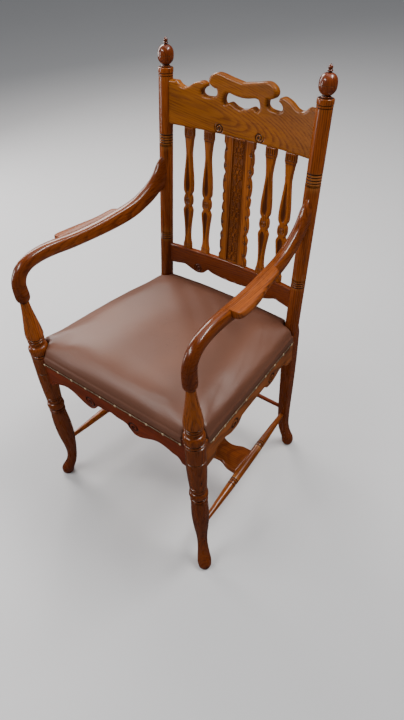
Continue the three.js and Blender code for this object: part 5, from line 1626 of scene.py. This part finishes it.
class CHAIR_OT_crest_rail(Maker, bpy.types.Operator):
    """Saw, bow and carve the crest rail"""
    bl_idname = "chair.crest_rail"
    bl_label = "Crest rail"

    def execute(self, context):
        finish = oak("Crest oak", colours().crest, colours().crest_vein, along="x", pith=(0.937, -0.295, 0),
                     lean=(0.11, -0.2, 0), pitch=4.6 * MM, wander=9 * MM, pores=0.5, rings=0.65, bare=0.5,
                     gloss=0.3, coat=0.35)
        dress(crest_rail(), finish, ["crest_rail"]).name = "carved_crest_rail"
        return {"FINISHED"}


class CHAIR_OT_lower_back_rail(Maker, bpy.types.Operator):
    """Saw, bow and carve the lower back rail"""
    bl_idname = "chair.lower_back_rail"
    bl_label = "Lower back rail"

    def execute(self, context):
        finish = stained_oak("Lower rail oak", 0.7, along="x", pith=(0.6, -0.25, 0), lean=(0.02, 0.06, 0),
                             gloss=0.28, coat=0.4)
        dress(lower_back_rail(), finish, ["lower_back_rail"]).name = "carved_lower_rail"
        return {"FINISHED"}


class CHAIR_OT_splat(Maker, bpy.types.Operator):
    """Saw and carve the splat"""
    bl_idname = "chair.splat"
    bl_label = "Splat"

    def execute(self, context):
        finish = golden_oak("Splat oak", pith=(0.04, -0.3, 0), lean=(0.118, 0.05, 0), pitch=5 * MM, gloss=0.3,
                            coat=0.45)
        dress(splat(), finish, ["splat"]).name = "carved_splat"
        return {"FINISHED"}


class CHAIR_OT_spindles(Maker, bpy.types.Operator):
    """Saw and carve a flat spindle and set four of them in the back"""
    bl_idname = "chair.spindles"
    bl_label = "Spindles"

    def execute(self, context):
        finish = golden_oak("Spindle oak", pith=(0.06, -0.28, 0), lean=(0.118, 0.06, 0), pitch=4.4 * MM,
                            gloss=0.26, coat=0.45)
        first = spindle()
        for number, place in enumerate(SPINDLE_PLACES, 1):
            piece = twin(first, f"flat_spindle_{number}")
            set_points(piece, points_of(piece) + (place, bow(place), LOWER_RAIL_TOP + FIT))
            move(piece, BACK)
            dress(piece, finish, [f"spindle_{number}"])
        bpy.data.objects.remove(first)
        return {"FINISHED"}


class CHAIR_OT_seat_rails(Maker, bpy.types.Operator):
    """Saw and carve the front and side seat rails"""
    bl_idname = "chair.seat_rails"
    bl_label = "Seat rails"

    def execute(self, context):
        front = stained_oak("Front apron oak", 1.0, along="x", pith=(0.5, 0.3, 0), lean=(0.03, 0.05, 0),
                            pitch=5 * MM, gloss=0.3, coat=0.4)
        side_finish = stained_oak("Side apron oak", 0.2, along="y", pith=(0.2, 0.5, 0), lean=(0.04, 0.05, 0),
                                  pitch=5 * MM, gloss=0.3)
        dress(front_apron(), front, ["front_rail"]).name = "carved_front_apron"
        for hand, side in HANDS:
            piece = dress(side_apron(side), side_finish, [f"side_rail_{hand}"])
            piece.name = f"carved_side_apron_{hand}"
        return {"FINISHED"}


class CHAIR_OT_stretchers(Maker, bpy.types.Operator):
    """Turn the side and back stretchers and saw the flat one between them"""
    bl_idname = "chair.stretchers"
    bl_label = "Stretchers"

    def execute(self, context):
        finish = stained_oak("Stretcher oak", 0.4, along="y", pith=(0.23, 0.16, 0), lean=(0.01, 0.03, 0),
                             pitch=3.6 * MM, bare=0.7, gloss=0.26)
        board = stained_oak("Board oak", 0.4, along="x", pith=(0.14, 0.09, 0), lean=(0.03, 0.06, 0),
                            pitch=6 * MM, gloss=0.3)
        for hand, side in HANDS:
            piece = dress(side_stretcher(side), finish, [f"side_stretcher_{hand}"])
            piece.name = f"turned_stretcher_{hand}"
        dress(cross_stretcher(), board, ["cross_stretcher"]).name = "shaped_cross_stretcher"
        rear = stained_oak("Back stretcher oak", 1.0, along="x", pith=(0.2, 0.2, 0), pitch=3 * MM)
        dress(back_stretcher(), rear, ["back_stretcher"]).name = "turned_back_stretcher"
        return {"FINISHED"}


class CHAIR_OT_seat(Maker, bpy.types.Operator):
    """Stuff the leather seat over its hessian and webbing"""
    bl_idname = "chair.seat"
    bl_label = "Seat"

    def execute(self, context):
        cushion = seat_cushion()
        dress(cushion, leather_material(), ["seat_leather", "seat_stuffing"], angle=70,
              marks_wear_and_light=False)
        cushion.name = "stuffed_leather_seat"
        cloth = hessian_sheet()
        dress(cloth, jute_material("Hessian", 1.9 * MM), ["seat_hessian"], marks_wear_and_light=False)
        cloth.name = "hessian_sheet"
        straps = []
        for i in (-2, -1, 0, 1, 2):
            straps.append(seat_strap(i * STRAP_PITCH, (LEG_DEPTH - 3 * MM) / 2, False, (-1) ** i))
        for i in (-1, 0, 1):
            y = LEG_DEPTH / 2 + i * STRAP_PITCH
            straps.append(seat_strap(y, side_face(y) - 13 * MM, True, -((-1) ** i)))
        web = join("jute_webbing", straps)
        dress(web, jute_material("Webbing", 2.4 * MM, 0.7), ["seat_webbing"], marks_wear_and_light=False)
        return {"FINISHED"}


class CHAIR_OT_nails(Maker, bpy.types.Operator):
    """Set the welt strips and domed nails round the seat"""
    bl_idname = "chair.nails"
    bl_label = "Welt and nails"

    def execute(self, context):
        finish = brass_material()
        out = 2.6 * MM  # from the rails' faces to the strips
        front, rear = -RAIL_FACE - out, REAR_FACE + out
        corner = LEG_SPREAD - 25.6 * MM
        first, last = 28.2 * MM, LEG_DEPTH - 21.2 * MM
        back_corner = POST_SPREAD - 21.2 * MM

        def at(x, y):
            return Vector((x, FRONT + y, rail_plane(y) - NAIL_DROP))

        lines = {
            "front": (at(-corner, front), at(corner, front), Vector((0, -1, 0))),
            "back": (at(back_corner, rear), at(-back_corner, rear), Vector((0, 1, 0))),
        }
        for hand, side in HANDS:
            ends = [at(side * (side_face(y) + out), y) for y in (first, last)]
            away = (ends[1] - ends[0]).cross(Vector((0, 0, 1))).normalized()
            lines[hand] = (*ends, away if away.x * side > 0 else -away)
        for place, line in lines.items():
            strip = welt(f"welt_and_nails_{place}", *line)
            dress(strip, finish, [f"nail_strip_{place}"], marks_wear_and_light=False)
        return {"FINISHED"}


class CHAIR_OT_inner_parts(Maker, bpy.types.Operator):
    """Give the rear rail, corner blocks and screws their finishes"""
    bl_idname = "chair.inner_parts"
    bl_label = "Inner parts"

    def execute(self, context):
        finishes = {
            "corner_block": beech_material(),
            "screw": steel_material(),
            "rear_seat_rail": stained_oak("Rear rail oak", 1.0, along="x", pith=(0.55, -0.2, 0), gloss=0.4),
        }
        for name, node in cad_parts.items():
            for kind, material in finishes.items():
                if kind in name:
                    node.data.materials.clear()
                    node.data.materials.append(material)
        return {"FINISHED"}


class CHAIR_OT_stage(Maker, bpy.types.Operator):
    """Set the floor, the lights and the camera"""
    bl_idname = "chair.stage"
    bl_label = "Stage"

    def execute(self, context):
        start()
        bpy.ops.mesh.primitive_plane_add(size=14, location=(0, 0, -0.4 * MM))
        floor = bpy.context.object
        floor.name = "studio_floor"
        material, tree, shader, place = blank("Pale floor")
        base = blend(tree, noise(tree, place, 1.2, 2.0), paint("floor"),
                     (*[c * 0.97 for c in colours().floor], 1))
        tree.links.new(base, shader.inputs["Base Color"])
        shader.inputs["Roughness"].default_value = 0.75
        floor.data.materials.append(material)
        floor.visible_glossy = False  # so that its pale reflection doesn't wash out the polish
        world = bpy.data.worlds.new("Studio")
        world.use_nodes = True
        sky = world.node_tree.nodes["Background"]
        sky.inputs["Color"].default_value = (0.95, 0.97, 1, 1)
        # The polish mirrors the lamps and little of the empty studio.
        mirrored = put(world.node_tree, "LightPath").outputs["Is Glossy Ray"]
        world.node_tree.links.new(reckon(world.node_tree, "MULTIPLY_ADD", mirrored, -0.2, 0.24),
                                  sky.inputs["Strength"])
        context.scene.world = world
        for name, place, size, power, tint in (
                ("Window", (-2.3, 1.3, 2.4), (1.5, 1.1), 56, (1, 0.94, 0.89)),
                ("Door", (-2.6, 0.35, 1.3), (0.7, 1.7), 26, (1, 0.99, 0.98)),
                ("Low strip", (-2.0, -1.3, 0.95), (0.4, 1.0), 12, (1, 0.99, 0.98)),
                ("Ceiling", (1.2, 0.9, 3.0), (1.5, 0.4), 55, (1, 0.98, 0.95)),
                ("Overhead", (0.3, 1.2, 3.6), (3.2, 3.2), 38, (1, 1, 1)),
                ("Front strip", (-0.9, -1.6, 2.5), (1.3, 0.5), 32, (1, 0.98, 0.96))):
            light = bpy.data.lights.new(name, "AREA")
            light.shape, light.size, light.size_y = "RECTANGLE", *size
            light.energy, light.color = power, tint
            lamp = bpy.data.objects.new(name, light)
            lamp.location = place
            lamp.rotation_euler = (Vector((0, 0, 0.5)) - Vector(place)).to_track_quat("-Z", "Y").to_euler()
            context.scene.collection.objects.link(lamp)
        camera = bpy.data.objects.new("Camera", bpy.data.cameras.new("Camera"))
        context.scene.collection.objects.link(camera)
        camera.data.sensor_fit = "VERTICAL"
        camera.data.sensor_height = 36
        camera.data.sensor_width = 36
        camera.data.lens = 28.72
        yaw, pitch, roll = (math.radians(angle) for angle in (39.56, 42.71, -3.22))
        ahead = Vector((-math.sin(yaw) * math.cos(pitch), math.cos(yaw) * math.cos(pitch), -math.sin(pitch)))
        level = Vector((math.cos(yaw), math.sin(yaw), 0))
        upright = level.cross(ahead)
        right = level * math.cos(roll) + upright * math.sin(roll)
        top = upright * math.cos(roll) - level * math.sin(roll)
        turn = Matrix((right, top, -ahead)).transposed().to_4x4()
        camera.matrix_world = Matrix.Translation((0.77944, -0.86293, 1.46758)) @ turn
        context.scene.camera = camera
        return {"FINISHED"}


class CHAIR_PT_pieces(bpy.types.Panel):
    """The chair's pieces, in the order in which they are made"""
    bl_idname = "CHAIR_PT_pieces"
    bl_label = "Captains chair"
    bl_space_type = "VIEW_3D"
    bl_region_type = "UI"
    bl_category = "Chair"

    def draw(self, context):
        column = self.layout.column(align=True)
        for maker in MAKERS:
            column.operator(maker.bl_idname)
        for kept in (context.scene.chair_sizes, context.scene.chair_colours):
            box = self.layout.box()
            for name in kept.__annotations__:
                box.prop(kept, name)


MAKERS = (
    CHAIR_OT_stage, CHAIR_OT_front_legs, CHAIR_OT_back_legs, CHAIR_OT_finials, CHAIR_OT_arms,
    CHAIR_OT_crest_rail,
    CHAIR_OT_lower_back_rail, CHAIR_OT_splat, CHAIR_OT_spindles, CHAIR_OT_seat_rails, CHAIR_OT_stretchers,
    CHAIR_OT_seat, CHAIR_OT_nails, CHAIR_OT_inner_parts,
)
CLASSES = (ChairSizes, ChairColours, *MAKERS, CHAIR_PT_pieces)


def register():
    for kind in CLASSES:
        bpy.utils.register_class(kind)
    bpy.types.Scene.chair_sizes = PointerProperty(type=ChairSizes)
    bpy.types.Scene.chair_colours = PointerProperty(type=ChairColours)


def unregister():
    del bpy.types.Scene.chair_sizes, bpy.types.Scene.chair_colours
    for kind in reversed(CLASSES):
        bpy.utils.unregister_class(kind)


def main():
    register()
    for build in (oak_grain_group, wear_and_light_group, weave_group, leather_grain_group):
        build()
    for maker in MAKERS:
        call = getattr(bpy.ops.chair, maker.bl_idname.split(".")[1])
        if call() != {"FINISHED"}:
            raise RuntimeError(f"{maker.bl_label} was not made")
    start()


if __name__ == "__main__":
    main()
